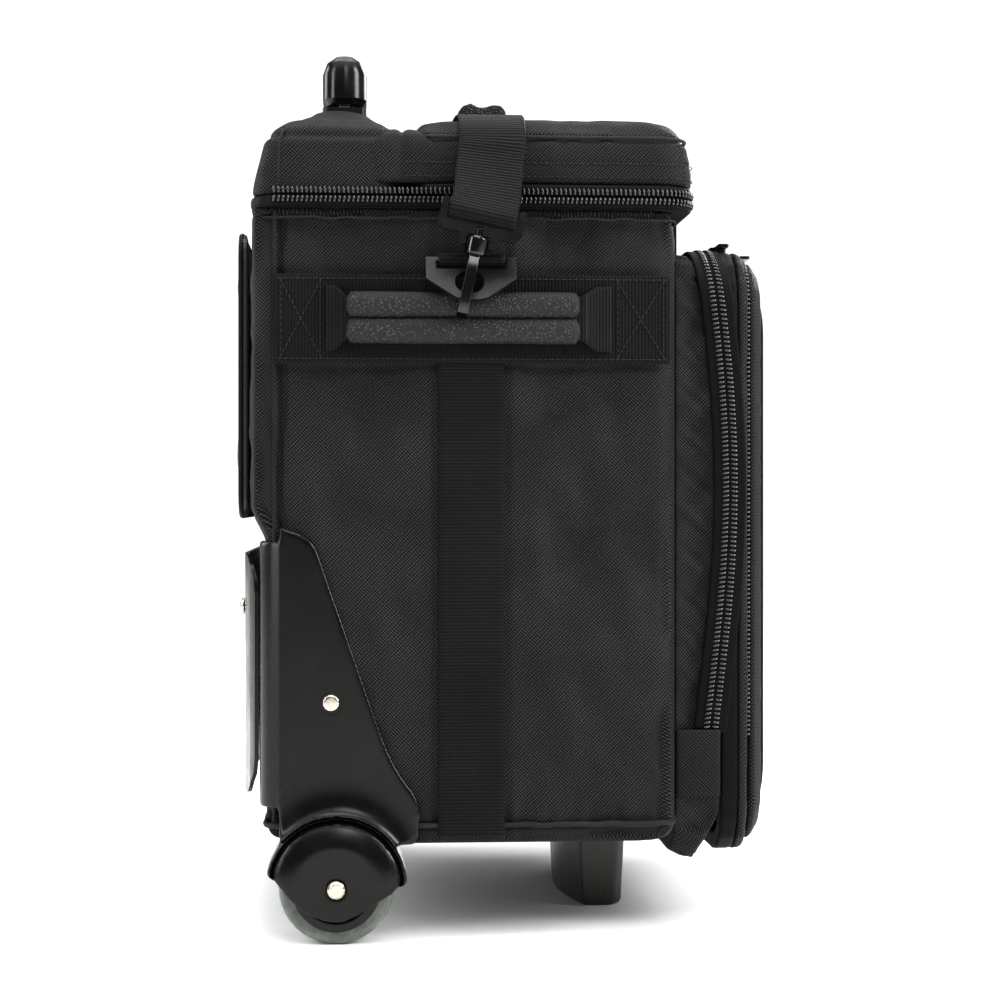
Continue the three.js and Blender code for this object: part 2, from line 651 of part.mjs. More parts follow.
function accessoryFlap() {
  const back = DOOR_FRONT_Y - GAP;
  return loft([
    pocketRing(32, -154), pocketRing(FLAP_INSET + 7, back), pocketRing(FLAP_INSET, back),
    pocketRing(FLAP_INSET, -150), pocketRing(FLAP_INSET + 8, -155.5),
    pocketRing(FLAP_INSET + 30, -160), pocketRing(FLAP_INSET + 62, FLAP_CROWN_Y),
  ]);
}

// ---- Zip sliders --------------------------------------------------------------------

const mainSlider = () =>
  slabY([MAIN_SLIDER_X - 7, MAIN_SLIDER_X + 7, 415.5, 428], 3, LID_FRONT_Y - 4.8, LID_FRONT_Y - 0.6);
const mainPull = () =>
  slabY([MAIN_SLIDER_X - 4, MAIN_SLIDER_X + 4, 399.6, 424], 1.5, -119.7, -117.5);

// A slider with its pull laid flat beside it, for a zip that runs along the top of a pocket.
function topSlider(x, y0, y1, z) {
  const body = prism([x - 6, x + 6, y0, y1], 2, z, z + 3.6);
  const pull = prism([x - 26, x - 3, (y0 + y1) / 2 - 3, (y0 + y1) / 2 + 3], 1.5, z + 1.6, z + 3.4);
  return join(body, pull);
}

// ---- Assembly -----------------------------------------------------------------------

add('body_shell', bodyShell(), FABRIC);
add('base_board', prism([-140, 140, FRONT_Y + 10, INNER_BACK_Y - 3], 8, 62.4, 66.5), BOARD);
add('ball_cradle', ballCradle(), FOAM);
add('rear_top', rearTop(), FABRIC);
add('lid', lidShell(), FABRIC);
add('main_zip_lower', zipBand(BACK_Y - 1, BACK_Y - 11, RIM_Z + GAP), ZIP);
add('main_zip_upper', zipBand(HINGE_Y - 0.4, HINGE_Y - 9, ZIP_Z + GAP / 2), ZIP);

add('trolley_bezel', bezel(), BLACK_PLASTIC);
addPair('trolley_outer', tube(11, 7, 1.4, TUBE_BOTTOM_Z, TUBE_TOP_Z), TUBE_METAL);
addPair('trolley_mid', tube(9.2, 5.2, 1, TUBE_BOTTOM_Z + 1, BEZEL_TOP_Z + 1), TUBE_METAL);
addPair('trolley_upper', tube(7.8, 3.8, 1, TUBE_BOTTOM_Z + 2, GRIP_BOTTOM_Z - GAP), TUBE_METAL);
add('trolley_grip', trolleyGrip(), BLACK_PLASTIC);
add('grip_button', prism([-15.6, 15.6, TUBE_Y - 4.6, TUBE_Y + 4.6], 2.8, 504.6, 515.4), PLASTIC);

addPair('wheel_housing', wheelHousing(), PLASTIC);
addPair('housing_rivet', rivet(173.6).translate(0, ...RIVET_AT), METAL);
addPair('axle', axle(), METAL);
addPair('wheel_hub', wheelHub(), BLACK_PLASTIC);
addPair('tyre', tyre(), TYRE);
add('back_plate', backPlate(), PLASTIC);
addPair('back_rivet', backRivet(), METAL);
add('back_sleeve', bowedSheet([[146, 147], [125, 149.2], [60, 150.4]], 4.7, 240, 404, 15),
  SMOOTH_FABRIC);
add('front_foot', frontFoot(), PLASTIC);

addPair('side_webbing', sideWebbing(), WEB);
addPair('side_band', sideBand(), WEB);
addPair('side_handle', sideHandle(), WEB);
addPair('side_grip', sideGrip(), RUBBER_GRIP);
addPair('ring_plate', ringPlate(), PLASTIC);
addPair('hook_frame', hookFrame(), PLASTIC);
addPair('snap_hook', snapHook(), METAL);
addPair('hook_gate', hookGate(), METAL);
add('carry_strap', carryStrap(), WEB);
add('strap_grip', strapGrip(), RUBBER_GRIP);

add('shoe_gusset', pocketBand(0, 8, FRONT_Y - 0.4, GUSSET_FRONT_Y), SMOOTH_FABRIC);
add('shoe_zip', pocketBand(0, 10, GUSSET_FRONT_Y - GAP, SHOE_ZIP_FRONT_Y), ZIP);
add('shoe_door', shoeDoor(), FABRIC);
add('accessory_flap', accessoryFlap(), FABRIC);

addPair('main_slider', mainSlider(), BLACK_PLASTIC);
addPair('main_pull', mainPull(), WEB);
add('shoe_slider', topSlider(-105, -139.6, -130.2, POCKET_TOP_Z + 0.4), BLACK_PLASTIC);
add('accessory_slider', topSlider(-95, -151.6, -146.7, POCKET_TOP_Z - FLAP_INSET + 0.4),
  BLACK_PLASTIC);

bag.position.y = CENTRE_SHIFT;

export default bag;
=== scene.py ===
"""Looks of the bowling ball bag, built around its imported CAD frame. Lengths are in metres.

The hard pieces are the CAD nodes with bevels and procedural finishes. The fabric, webbing, zips
and rubber grips are their own meshes, which stand for the plain CAD solids.
"""
import json
import math

import bpy
import numpy as np
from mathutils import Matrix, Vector


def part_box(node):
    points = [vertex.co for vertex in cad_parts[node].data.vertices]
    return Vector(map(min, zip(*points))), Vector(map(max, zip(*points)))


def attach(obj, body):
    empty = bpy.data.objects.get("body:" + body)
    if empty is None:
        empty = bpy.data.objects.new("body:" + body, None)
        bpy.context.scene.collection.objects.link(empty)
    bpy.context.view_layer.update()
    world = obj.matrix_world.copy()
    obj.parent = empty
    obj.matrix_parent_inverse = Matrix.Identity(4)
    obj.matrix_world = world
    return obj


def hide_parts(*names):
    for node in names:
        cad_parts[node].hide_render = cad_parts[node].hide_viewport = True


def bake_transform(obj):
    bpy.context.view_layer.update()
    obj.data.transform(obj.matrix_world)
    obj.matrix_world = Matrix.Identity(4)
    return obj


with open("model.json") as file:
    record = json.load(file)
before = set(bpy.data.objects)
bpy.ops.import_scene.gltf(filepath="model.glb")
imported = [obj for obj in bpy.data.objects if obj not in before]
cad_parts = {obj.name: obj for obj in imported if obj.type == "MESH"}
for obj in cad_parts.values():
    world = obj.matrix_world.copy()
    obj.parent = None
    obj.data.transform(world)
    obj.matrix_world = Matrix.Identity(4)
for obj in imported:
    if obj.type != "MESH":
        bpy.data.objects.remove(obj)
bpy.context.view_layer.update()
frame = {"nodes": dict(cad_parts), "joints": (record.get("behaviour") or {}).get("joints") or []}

MM = 0.001
SIDES = (("right", 1), ("left", -1))
NODES = frame["nodes"]
X_AXIS, Y_AXIS, Z_AXIS = np.eye(3)

TWILL_PITCH = 1.9 * MM
RIB_PITCH = 1.9 * MM
TOOTH_PITCH = 2.63 * MM
STITCH_PITCH = 3.4 * MM


# ---- Finishes ----

class Finish:
    """A node material: a Principled shader and the nodes that feed it."""

    def __init__(self, name, colour, roughness, **sockets):
        self.material = bpy.data.materials.new(name)
        self.material.use_nodes = True
        self.tree = self.material.node_tree
        self.shader = self.tree.nodes["Principled BSDF"]
        self.shader.inputs["Base Color"].default_value = (*colour, 1)
        self.shader.inputs["Roughness"].default_value = roughness
        for socket, value in sockets.items():
            self.shader.inputs[socket.replace("_", " ")].default_value = value

    def put(self, value, socket):
        if isinstance(value, bpy.types.NodeSocket):
            self.tree.links.new(value, socket)
        else:
            socket.default_value = value

    def math(self, operation, *values):
        node = self.tree.nodes.new("ShaderNodeMath")
        node.operation = operation
        for value, socket in zip(values, node.inputs):
            self.put(value, socket)
        return node.outputs[0]

    def coordinates(self, kind="UV"):
        return self.tree.nodes.new("ShaderNodeTexCoord").outputs[kind]

    def split(self, vector):
        node = self.tree.nodes.new("ShaderNodeSeparateXYZ")
        self.put(vector, node.inputs[0])
        return node.outputs

    def texture(self, kind, vector, **sockets):
        node = self.tree.nodes.new("ShaderNodeTex" + kind)
        self.put(vector, node.inputs["Vector"])
        for socket, value in sockets.items():
            node.inputs[socket].default_value = value
        return node.outputs

    def noise(self, vector, scale, detail=3.0, roughness=0.5):
        return self.texture("Noise", vector, Scale=scale, Detail=detail, Roughness=roughness)[0]

    def voronoi(self, vector, scale):
        return self.texture("Voronoi", vector, Scale=scale)["Distance"]

    def wave(self, value):
        """A wave between 0 and 1 that repeats each time the value grows by 1."""
        sine = self.math("SINE", self.math("MULTIPLY", value, 2 * math.pi))
        return self.math("MULTIPLY_ADD", sine, 0.5, 0.5)

    def ramp(self, value, low, high, out_low=0.0, out_high=1.0):
        node = self.tree.nodes.new("ShaderNodeMapRange")
        for amount, socket in zip((value, low, high, out_low, out_high), node.inputs):
            self.put(amount, socket)
        return node.outputs[0]

    def mix(self, share, dark, light):
        node = self.tree.nodes.new("ShaderNodeMix")
        node.data_type = "RGBA"
        self.put(share, node.inputs["Factor"])
        node.inputs["A"].default_value = (*dark, 1)
        node.inputs["B"].default_value = (*light, 1)
        self.put(node.outputs["Result"], self.shader.inputs["Base Color"])

    def rough(self, value, low, high, out_low, out_high):
        self.put(self.ramp(value, low, high, out_low, out_high), self.shader.inputs["Roughness"])

    def bump(self, height, distance, strength=1.0, under=None):
        node = self.tree.nodes.new("ShaderNodeBump")
        node.inputs["Strength"].default_value = strength
        node.inputs["Distance"].default_value = distance
        self.put(height, node.inputs["Height"])
        if under is not None:
            self.put(under, node.inputs["Normal"])
        self.put(node.outputs[0], self.shader.inputs["Normal"])
        return node.outputs[0]


def woven(name, dark, light, across, along, diagonal=False, chevron=0.0, roughness=0.6,
          depth=0.22 * MM, sheen=0.04, ribbed=0.6, crossed=0.75, specular=0.16, painted_shade_low=0.6):
    """Yarns that cross at two pitches: straight for webbing, slanted for twill."""
    finish = Finish(name, dark, roughness, Sheen_Weight=sheen, Sheen_Roughness=0.4,
                    Specular_IOR_Level=specular)
    uv = finish.coordinates()
    u, v, _ = finish.split(uv)
    if chevron:
        u = finish.math("PINGPONG", u, chevron)
    if diagonal:
        u, v = finish.math("SUBTRACT", u, v), finish.math("ADD", u, v)
    wobble = finish.math("MULTIPLY", finish.noise(uv, 160.0), 0.5)
    first = finish.wave(finish.math("ADD", finish.math("DIVIDE", u, across), wobble))
    second = finish.wave(finish.math("DIVIDE", v, along))
    yarn = finish.math("MULTIPLY", finish.math("MULTIPLY_ADD", first, ribbed, 1 - ribbed),
                       finish.math("MULTIPLY_ADD", second, crossed, 1 - crossed))
    # Painted shade and sheen: broad patches of darker and lighter cloth stand in for the light and shade
    # on the cloth's folds.
    fold_shade_patches = finish.ramp(finish.noise(uv, 20.0), 0.3, 0.7, painted_shade_low, 1.15)
    finish.mix(finish.math("MULTIPLY", yarn, fold_shade_patches), dark, light)
    finish.bump(yarn, depth, 0.8)
    finish.rough(yarn, 0.0, 1.0, roughness + 0.1, roughness - 0.12)
    return finish.material


def satin_cloth(name, dark, light):
    """Smooth close-woven lining cloth with soft creases; painted shade makes it darker in their hollows.
    """
    finish = Finish(name, dark, 0.5, Sheen_Weight=0.06, Sheen_Roughness=0.35)
    uv = finish.coordinates()
    u, v, _ = finish.split(uv)
    fine = finish.math("MULTIPLY", finish.wave(finish.math("DIVIDE", u, 0.5 * MM)),
                       finish.wave(finish.math("DIVIDE", v, 0.5 * MM)))
    creases_and_shade = finish.noise(uv, 60.0, 4.0, 0.6)
    # Painted shade: the colour is darker where the crease bump is low and lighter on its crests.
    finish.mix(finish.ramp(creases_and_shade, 0.3, 0.75), dark, light)
    under = finish.bump(creases_and_shade, 0.8 * MM, 0.35)
    finish.bump(fine, 0.05 * MM, 0.5, under)
    return finish.material


def pebbled_rubber(name, dark, light):
    """Moulded rubber with small pebbles whose tops are painted light as a painted highlight."""
    finish = Finish(name, dark, 0.5, Specular_IOR_Level=0.5)
    place = finish.coordinates("Object")
    pebbles_and_glints = finish.ramp(finish.voronoi(place, 620.0), 0.08, 0.5, 1.0, 0.0)
    # Painted highlight: the pebble tops are lighter in colour, standing in for the light they catch.
    finish.mix(finish.math("POWER", pebbles_and_glints, 4.0), dark, light)
    finish.bump(pebbles_and_glints, 0.45 * MM, 0.9)
    finish.rough(pebbles_and_glints, 0.0, 1.0, 0.7, 0.38)
    return finish.material


def moulded_plastic(name, colour, worn, roughness, grain=0.06 * MM, specular=0.3):
    """Spark-eroded moulding grain with faint handling marks."""
    finish = Finish(name, colour, roughness, Specular_IOR_Level=specular)
    place = finish.coordinates("Object")
    cloud = finish.noise(place, 45.0, 4.0, 0.6)
    finish.mix(finish.ramp(cloud, 0.42, 0.78), colour, worn)
    finish.rough(cloud, 0.3, 0.7, roughness - 0.05, roughness + 0.09)
    finish.bump(finish.noise(place, 1900.0, 2.0), grain, 0.6)
    return finish.material


def metal(name, colour, roughness):
    """Plated or drawn metal with fine brushing."""
    finish = Finish(name, colour, roughness, Metallic=1.0)
    place = finish.coordinates("Object")
    x, y, z = finish.split(place)
    stretched = finish.tree.nodes.new("ShaderNodeCombineXYZ")
    for value, factor, socket in zip((x, y, z), (900.0, 900.0, 60.0), stretched.inputs):
        finish.put(finish.math("MULTIPLY", value, factor), socket)
    brushing = finish.noise(stretched.outputs[0], 1.0, 2.0)
    finish.rough(brushing, 0.2, 0.8, roughness * 0.8, roughness * 1.3)
    darker = tuple(0.82 * c for c in colour)
    finish.mix(finish.ramp(brushing, 0.3, 0.7), darker, colour)
    return finish.material


def cast_urethane(name, dark, light):
    """The wheels' tyre: slightly clear, grey-green, with scuffs on the tread."""
    finish = Finish(name, light, 0.32, Subsurface_Weight=0.35, Subsurface_Scale=0.004,
                    Coat_Weight=0.15, Coat_Roughness=0.2)
    place = finish.coordinates("Object")
    scuffs = finish.noise(place, 130.0, 5.0, 0.65)
    finish.mix(finish.ramp(scuffs, 0.35, 0.7), dark, light)
    finish.bump(scuffs, 0.12 * MM, 0.5)
    finish.rough(scuffs, 0.3, 0.7, 0.26, 0.44)
    return finish.material


def open_cell_foam(name, dark, light):
    finish = Finish(name, dark, 0.9)
    place = finish.coordinates("Object")
    cells = finish.voronoi(place, 480.0)
    finish.mix(finish.ramp(cells, 0.1, 0.7), light, dark)
    finish.bump(cells, 0.6 * MM, 0.8)
    return finish.material


# painted_shade_low: how dark the painted fold shade on the nylon gets.
NYLON = dict(dark=(0.0008, 0.0008, 0.0009), light=(0.047, 0.045, 0.045), across=TWILL_PITCH,
             roughness=0.55, sheen=0.01, diagonal=True, ribbed=1.0, crossed=0.65, specular=0.1,
             painted_shade_low=0.78)
TWILL = woven("twill", along=2.6 * MM, **NYLON)
HERRINGBONE = woven("herringbone", along=2.4 * MM, chevron=9 * MM, **NYLON)
WEBBING = woven("webbing", (0.0005, 0.0006, 0.0005), (0.0105, 0.0108, 0.0092), 1.45 * MM,
                RIB_PITCH, roughness=0.55, depth=0.45 * MM, ribbed=0.35, specular=0.12)
TAPE = woven("zip_tape", (0.0008, 0.0008, 0.0009), (0.004, 0.004, 0.0042), 0.9 * MM, 0.8 * MM,
             roughness=0.6, depth=0.12 * MM, specular=0.12)
SATIN = satin_cloth("satin", (0.010, 0.0095, 0.009), (0.017, 0.016, 0.015))
# The grip rubber's light colour is the painted highlight on its pebble tops.
RUBBER = pebbled_rubber("grip_rubber", (0.0008, 0.0008, 0.0008), (0.085, 0.085, 0.085))
HOUSING = moulded_plastic("housing_plastic", (0.0030, 0.0033, 0.0027), (0.0055, 0.0058, 0.0048), 0.22,
                          specular=0.27)
# Painted light: the foot's plastic is much lighter than the other mouldings, standing in for light on
# its front face, which sits in shade.
LIT_FOOT_PLASTIC = moulded_plastic("lit_foot_plastic", (0.034, 0.0345, 0.030), (0.046, 0.0465, 0.041), 0.3)
SATIN_PLASTIC = moulded_plastic("satin_plastic", (0.003, 0.003, 0.0032), (0.006, 0.006, 0.0063), 0.34)
GLOSS = moulded_plastic("gloss_plastic", (0.004, 0.004, 0.0045), (0.007, 0.007, 0.0075), 0.18,
                        0.02 * MM)
COIL = moulded_plastic("zip_coil", (0.004, 0.004, 0.0045), (0.010, 0.010, 0.011), 0.14, 0.02 * MM,
                       0.8)
THREAD = woven("thread", (0.006, 0.006, 0.0065), (0.035, 0.035, 0.037), 0.5 * MM, 0.9 * MM)
NICKEL = metal("nickel", (0.62, 0.56, 0.47), 0.24)
DARK_NICKEL = metal("dark_nickel", (0.055, 0.055, 0.058), 0.16)
ALUMINIUM = metal("tube_aluminium", (0.33, 0.335, 0.34), 0.36)
URETHANE = cast_urethane("tyre", (0.06, 0.073, 0.06), (0.13, 0.15, 0.127))
FOAM = open_cell_foam("foam", (0.035, 0.036, 0.038), (0.07, 0.07, 0.075))
BOARD = moulded_plastic("board", (0.025, 0.025, 0.026), (0.04, 0.04, 0.042), 0.6, 0.15 * MM)


# ---- Mesh helpers ----

def numbers(items, attribute, width=1, kind=float):
    """One attribute of every vertex, loop or face, as an array."""
    values = np.zeros(len(items) * width, kind)
    items.foreach_get(attribute, values)
    return values.reshape(-1, width) if width > 1 else values


def placed(name, data):
    """A new object in the scene."""
    thing = bpy.data.objects.new(name, data)
    bpy.context.scene.collection.objects.link(thing)
    return thing


def smooth_mesh(mesh):
    mesh.polygons.foreach_set("use_smooth", np.ones(len(mesh.polygons), bool))
    mesh.update()


def make(name, points, faces, uvs, finish):
    """A new object in the row frame. uvs holds one pair for each point of each face, in metres."""
    mesh = bpy.data.meshes.new(name)
    mesh.from_pydata([tuple(p) for p in points], [], faces)
    layer = mesh.uv_layers.new(name="cloth")
    layer.data.foreach_set("uv", np.asarray(uvs, np.float32).ravel())
    smooth_mesh(mesh)
    piece = placed(name, mesh)
    mesh.materials.append(finish)
    return piece


def joined(name, parts, finish):
    """One object from several (points, faces, uvs) parts."""
    points, faces, uvs, offset = [], [], [], 0
    for part_points, part_faces, part_uvs in parts:
        points.append(np.asarray(part_points))
        faces += [tuple(i + offset for i in face) for face in part_faces]
        uvs.append(np.asarray(part_uvs))
        offset += len(part_points)
    return make(name, np.vstack(points), faces, np.vstack(uvs), finish)


def unit(v):
    return v / np.maximum(np.linalg.norm(v, axis=-1, keepdims=True), 1e-12)


def lengths(path):
    steps = np.linalg.norm(np.diff(path, axis=0), axis=1)
    return np.concatenate([[0.0], np.cumsum(steps)])


def resampled(path, step, closed=False):
    """Points at an even spacing along a path."""
    path = np.asarray(path, float)
    if closed:
        path = np.vstack([path, path[:1]])
    at = lengths(path)
    count = max(2, int(round(at[-1] / step)) + 1)
    even = np.linspace(0, at[-1], count)
    points = np.stack([np.interp(even, at, path[:, k]) for k in range(3)], axis=1)
    return points[:-1] if closed else points


def curved(points, step):
    """A Catmull-Rom curve through a few points, evenly spaced."""
    p = np.asarray(points, float)
    p = np.vstack([2 * p[0] - p[1], p, 2 * p[-1] - p[-2]])
    t = np.linspace(0, 1, 12, endpoint=False)[:, None]
    spans = []
    for a, b, c, d in zip(p, p[1:], p[2:], p[3:]):
        spans.append(0.5 * (2 * b + (c - a) * t + (2 * a - 5 * b + 4 * c - d) * t ** 2
                            + (3 * b - a - 3 * c + d) * t ** 3))
    return resampled(np.vstack(spans + [p[-2:-1]]), step)


def tangents(path, closed=False):
    if closed:
        return unit(np.roll(path, -1, axis=0) - np.roll(path, 1, axis=0))
    return unit(np.gradient(path, axis=0))


def sweep(path, section, side, closed=False):
    """(points, faces, uvs) of a section carried along a path. side is the direction, or one for
    each path point, in which the section's first number runs; its second runs outward."""
    path = np.asarray(path, float)
    along = tangents(path, closed)
    side = np.broadcast_to(np.asarray(side, float), path.shape)
    out = unit(np.cross(along, side))
    side = unit(np.cross(out, along))
    section = np.asarray(section, float)
    if section.ndim == 2:
        section = np.broadcast_to(section, (len(path), *section.shape))
    points = (path[:, None] + section[..., :1] * side[:, None] + section[..., 1:] * out[:, None])
    n, m = points.shape[:2]
    ring = np.append(lengths(np.vstack([section[0], section[0][:1]])), 0)[:m + 1]
    v = lengths(np.vstack([path, path[:1]]) if closed else path)
    faces, uvs = [], []
    for i in range(n if closed else n - 1):
        for j in range(m):
            a, b = i * m + j, i * m + (j + 1) % m
            c, d = ((i + 1) % n) * m + (j + 1) % m, ((i + 1) % n) * m + j
            faces.append((a, b, c, d))
            uvs += [(ring[j], v[i]), (ring[j + 1], v[i]), (ring[j + 1], v[i + 1]),
                    (ring[j], v[i + 1])]
    if not closed:
        for start, order in ((0, range(m - 1, -1, -1)), ((n - 1) * m, range(m))):
            faces.append(tuple(start + k for k in order))
            uvs += [tuple(section[0][k]) for k in order]
    return points.reshape(-1, 3), faces, uvs


def oval(width, height, sides):
    """A section: an ellipse."""
    angle = np.linspace(0, 2 * math.pi, sides, endpoint=False)
    return np.stack([width / 2 * np.cos(angle), height / 2 * np.sin(angle)], axis=1)


def strip(width, height, across=10):
    """A section: a flat strip with rounded edges and enough points across to bend."""
    x = width / 2 * np.sin(np.linspace(-math.pi / 2, math.pi / 2, across))
    edge = height / 2 * np.minimum(1, (1 - np.abs(x) / (width / 2)) * width / height + 0.25)
    top = np.stack([x, edge], axis=1)
    bottom = np.stack([x[::-1], -edge[::-1]], axis=1)
    return np.vstack([top, bottom])[::-1]


def box_uv(mesh):
    """UVs in metres, looking at each face along the axis it faces most."""
    layer = mesh.uv_layers.new(name="cloth") if not mesh.uv_layers else mesh.uv_layers[0]
    loops = numbers(mesh.loops, "vertex_index", kind=np.int64)
    points = numbers(mesh.vertices, "co", 3)[loops]
    normals = numbers(mesh.polygons, "normal", 3)
    totals = numbers(mesh.polygons, "loop_total", kind=np.int64)
    axis = np.repeat(np.abs(normals).argmax(axis=1), totals)
    u = np.choose(axis, [points[:, 1], points[:, 0], points[:, 0]])
    v = np.choose(axis, [points[:, 2], points[:, 2], points[:, 1]])
    layer.data.foreach_set("uv", np.stack([u, v], axis=1).astype(np.float32).ravel())


def cad_cloth(node, name, voxel, finish, move=None, relax=3):
    """A soft copy of a CAD node: remeshed evenly, relaxed, and moved by move(points, normals)."""
    piece = placed(name, NODES[node].data.copy())
    remesh = piece.modifiers.new("even", "REMESH")
    remesh.mode, remesh.voxel_size = "VOXEL", voxel
    relaxing = piece.modifiers.new("relaxed", "SMOOTH")
    relaxing.factor, relaxing.iterations = 0.5, relax
    graph = bpy.context.evaluated_depsgraph_get()
    mesh = bpy.data.meshes.new_from_object(piece.evaluated_get(graph))
    piece.modifiers.clear()
    piece.data = mesh
    mesh.name = name
    box_uv(mesh)
    if move:
        points = numbers(mesh.vertices, "co", 3)
        normals = numbers(mesh.vertex_normals, "vector", 3)
        mesh.vertices.foreach_set("co", (points + move(points, normals)).ravel())
    smooth_mesh(mesh)
    mesh.materials.clear()
    mesh.materials.append(finish)
    return piece


def stand_for(piece, body, slot_name, *nodes):
    """The piece rides on a body and stands for CAD nodes."""
    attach(piece, body)
    if nodes:
        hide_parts(*nodes)


def harden(node, finish, bevel):
    """A hard CAD node with rounded edges and its own finish."""
    piece = NODES[node]
    piece.data.materials.clear()
    piece.data.materials.append(finish)
    smooth_mesh(piece.data)
    piece.modifiers.new("weld", "WELD").merge_threshold = 1e-5
    flat = piece.modifiers.new("flat", "DECIMATE")
    flat.decimate_type, flat.angle_limit = "DISSOLVE", math.radians(1)
    edge = piece.modifiers.new("edges", "BEVEL")
    edge.width, edge.segments, edge.limit_method = bevel, 3, "ANGLE"
    edge.angle_limit = math.radians(28)
    piece.modifiers.new("shading", "WEIGHTED_NORMAL").keep_sharp = False


def edge_of(node):
    """A node's box as (x0, x1, y0, y1, z0, z1)."""
    low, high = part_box(node)
    return low.x, high.x, low.y, high.y, low.z, high.z


# ---- Hard pieces ----

def dress_hard_pieces():
    """Each CAD node that is kept, with its finish and the width of its rounded edges in mm."""
    pairs = (
        ("ring_plate", SATIN_PLASTIC, 0.5), ("hook_frame", SATIN_PLASTIC, 0.6),
        ("snap_hook", DARK_NICKEL, 0.9), ("hook_gate", DARK_NICKEL, 0.3),
        ("wheel_hub", SATIN_PLASTIC, 0.5), ("tyre", URETHANE, 1.4), ("axle", NICKEL, 0.5),
        ("housing_rivet", NICKEL, 0.5), ("back_rivet", NICKEL, 0.5),
        ("main_slider", GLOSS, 0.6), ("main_pull", GLOSS, 0.5),
        ("trolley_outer", ALUMINIUM, 0.3), ("trolley_mid", ALUMINIUM, 0.3),
        ("trolley_upper", ALUMINIUM, 0.3),
    )
    single = (
        ("back_plate", HOUSING, 0.8), ("front_foot", LIT_FOOT_PLASTIC, 2.5),
        ("trolley_bezel", SATIN_PLASTIC, 1.0), ("trolley_grip", GLOSS, 1.2),
        ("grip_button", GLOSS, 0.8), ("shoe_slider", GLOSS, 0.5),
        ("accessory_slider", GLOSS, 0.5), ("base_board", BOARD, 1.0),
    )
    for node, finish, bevel in pairs:
        for side, _ in SIDES:
            harden(f"{node}_{side}", finish, bevel * MM)
    for node, finish, bevel in single:
        harden(node, finish, bevel * MM)


# ---- Fabric shells ----

def near(value, centre, width):
    """1 at the centre, falling smoothly to 0 beyond about two widths."""
    return np.exp(-((value - centre) / width) ** 2)


def rising(value, start, end):
    t = np.clip((value - start) / (end - start), 0, 1)
    return t * t * (3 - 2 * t)


def slack(a, b, size=55 * MM):
    """Loose cloth seen along its face: slanted, uneven folds between -1 and 1."""
    total = 0
    for turn, stretch, phase in ((0.7, 1.0, 0.3), (0.95, 0.57, 2.1), (2.3, 1.35, 4.0),
                                 (0.5, 0.31, 5.2), (1.9, 0.43, 1.1)):
        along = a * math.cos(turn) + b * math.sin(turn)
        over = b * math.cos(turn) - a * math.sin(turn)
        bend = 0.35 * np.sin(along / (size * 1.7 * stretch) * 2 * math.pi + phase)
        total = total + stretch ** 0.8 * np.sin((over / (size * stretch) + bend) * 2 * math.pi + phase)
    return total / 2.6


def puckers(along, pitch=13 * MM):
    """Small gathers beside a seam, as it runs along."""
    return (np.sin(along / pitch * 2 * math.pi) + 0.7 * np.sin(along / (pitch * 0.61) * 2 * math.pi + 1)
            + 0.5 * np.sin(along / (pitch * 2.3) * 2 * math.pi + 2)) / 2.2


def body_cloth(points, normals):
    """Panels that sag between their seams, gathered along the base, zip and side seams."""
    _, x1, y0, _, _, z1 = edge_of("body_shell")
    x, y, z = points.T
    beside_web, beside_band = np.abs(y - WEB_Y), np.abs(z - BAND_Z)
    on_side = rising(np.abs(x), x1 - 5 * MM, x1 - 2 * MM) * (np.abs(normals[:, 0]) > 0.5)
    on_front = rising(-y, -y0 - 5 * MM, -y0 - 2 * MM) * (normals[:, 1] < -0.5)
    on_back = rising(y, BACK_FACE_Y - 4 * MM, BACK_FACE_Y - 1 * MM) * (normals[:, 1] > 0.5)
    gather = near(z, BASE_SEAM_Z, 12 * MM) + 0.6 * near(z, z1, 12 * MM)
    panel = rising(beside_web, 20 * MM, 48 * MM) * (1 - near(z, BAND_Z, 30 * MM))
    billow = slack(y + 0.3 * x, z, 118 * MM)
    sag = -0.0040 * panel * (1 + billow) + 0.0034 * panel * near(z, 190 * MM, 110 * MM)
    sag -= 0.0004 * panel * (1 + slack(z - 0.7 * y, y, 26 * MM)) * rising(billow, -0.2, 0.6)
    sag -= 0.0011 * gather * (1 + puckers(y))
    sag -= 0.0016 * near(z, BASE_SEAM_Z, 1.6 * MM) + 0.0040 * near(y, SIDE_SEAM_Y - 1.2 * MM, 1.8 * MM)
    sag -= 0.0010 * (near(beside_web, 20 * MM, 2 * MM) + near(beside_band, 26.5 * MM, 2 * MM))
    wall = -0.0012 * (1 + slack(x, z)) - 0.0010 * gather * (1 + puckers(x))
    above_pocket = rising(z, edge_of("shoe_gusset")[5], z1)
    amount = on_side * sag + (on_front * above_pocket + on_back) * wall
    return amount[:, None] * unit(normals)


def lid_cloth(points, normals):
    """A padded top: puffed between its rim seam and its edge, gathered beside both."""
    _, x1, _, y1, z0, _ = edge_of("lid")
    x, y, z = points.T
    outer = (normals[:, 2] > 0.25) | (z > z0 + 2 * MM) & (np.abs(normals[:, 2]) < 0.7)
    round_edge = np.where(np.abs(x) / x1 > np.abs(y) / y1, y, x)
    amount = -0.0012 * near(z, LID_RIM_Z, 1.6 * MM) - 0.0008 * near(z, z0 + 12 * MM, 1.2 * MM)
    amount = amount - 0.0007 * near(z, LID_RIM_Z, 9 * MM) * (1 + puckers(round_edge, 17 * MM))
    amount = amount + 0.0009 * slack(x, y, 70 * MM) * rising(z, LID_RIM_Z, LID_RIM_Z + 8 * MM)
    amount = amount - 0.0012 * near(y, y1, 10 * MM) * (1 + puckers(x, 21 * MM))
    return np.where(outer, amount, 0)[:, None] * unit(normals)


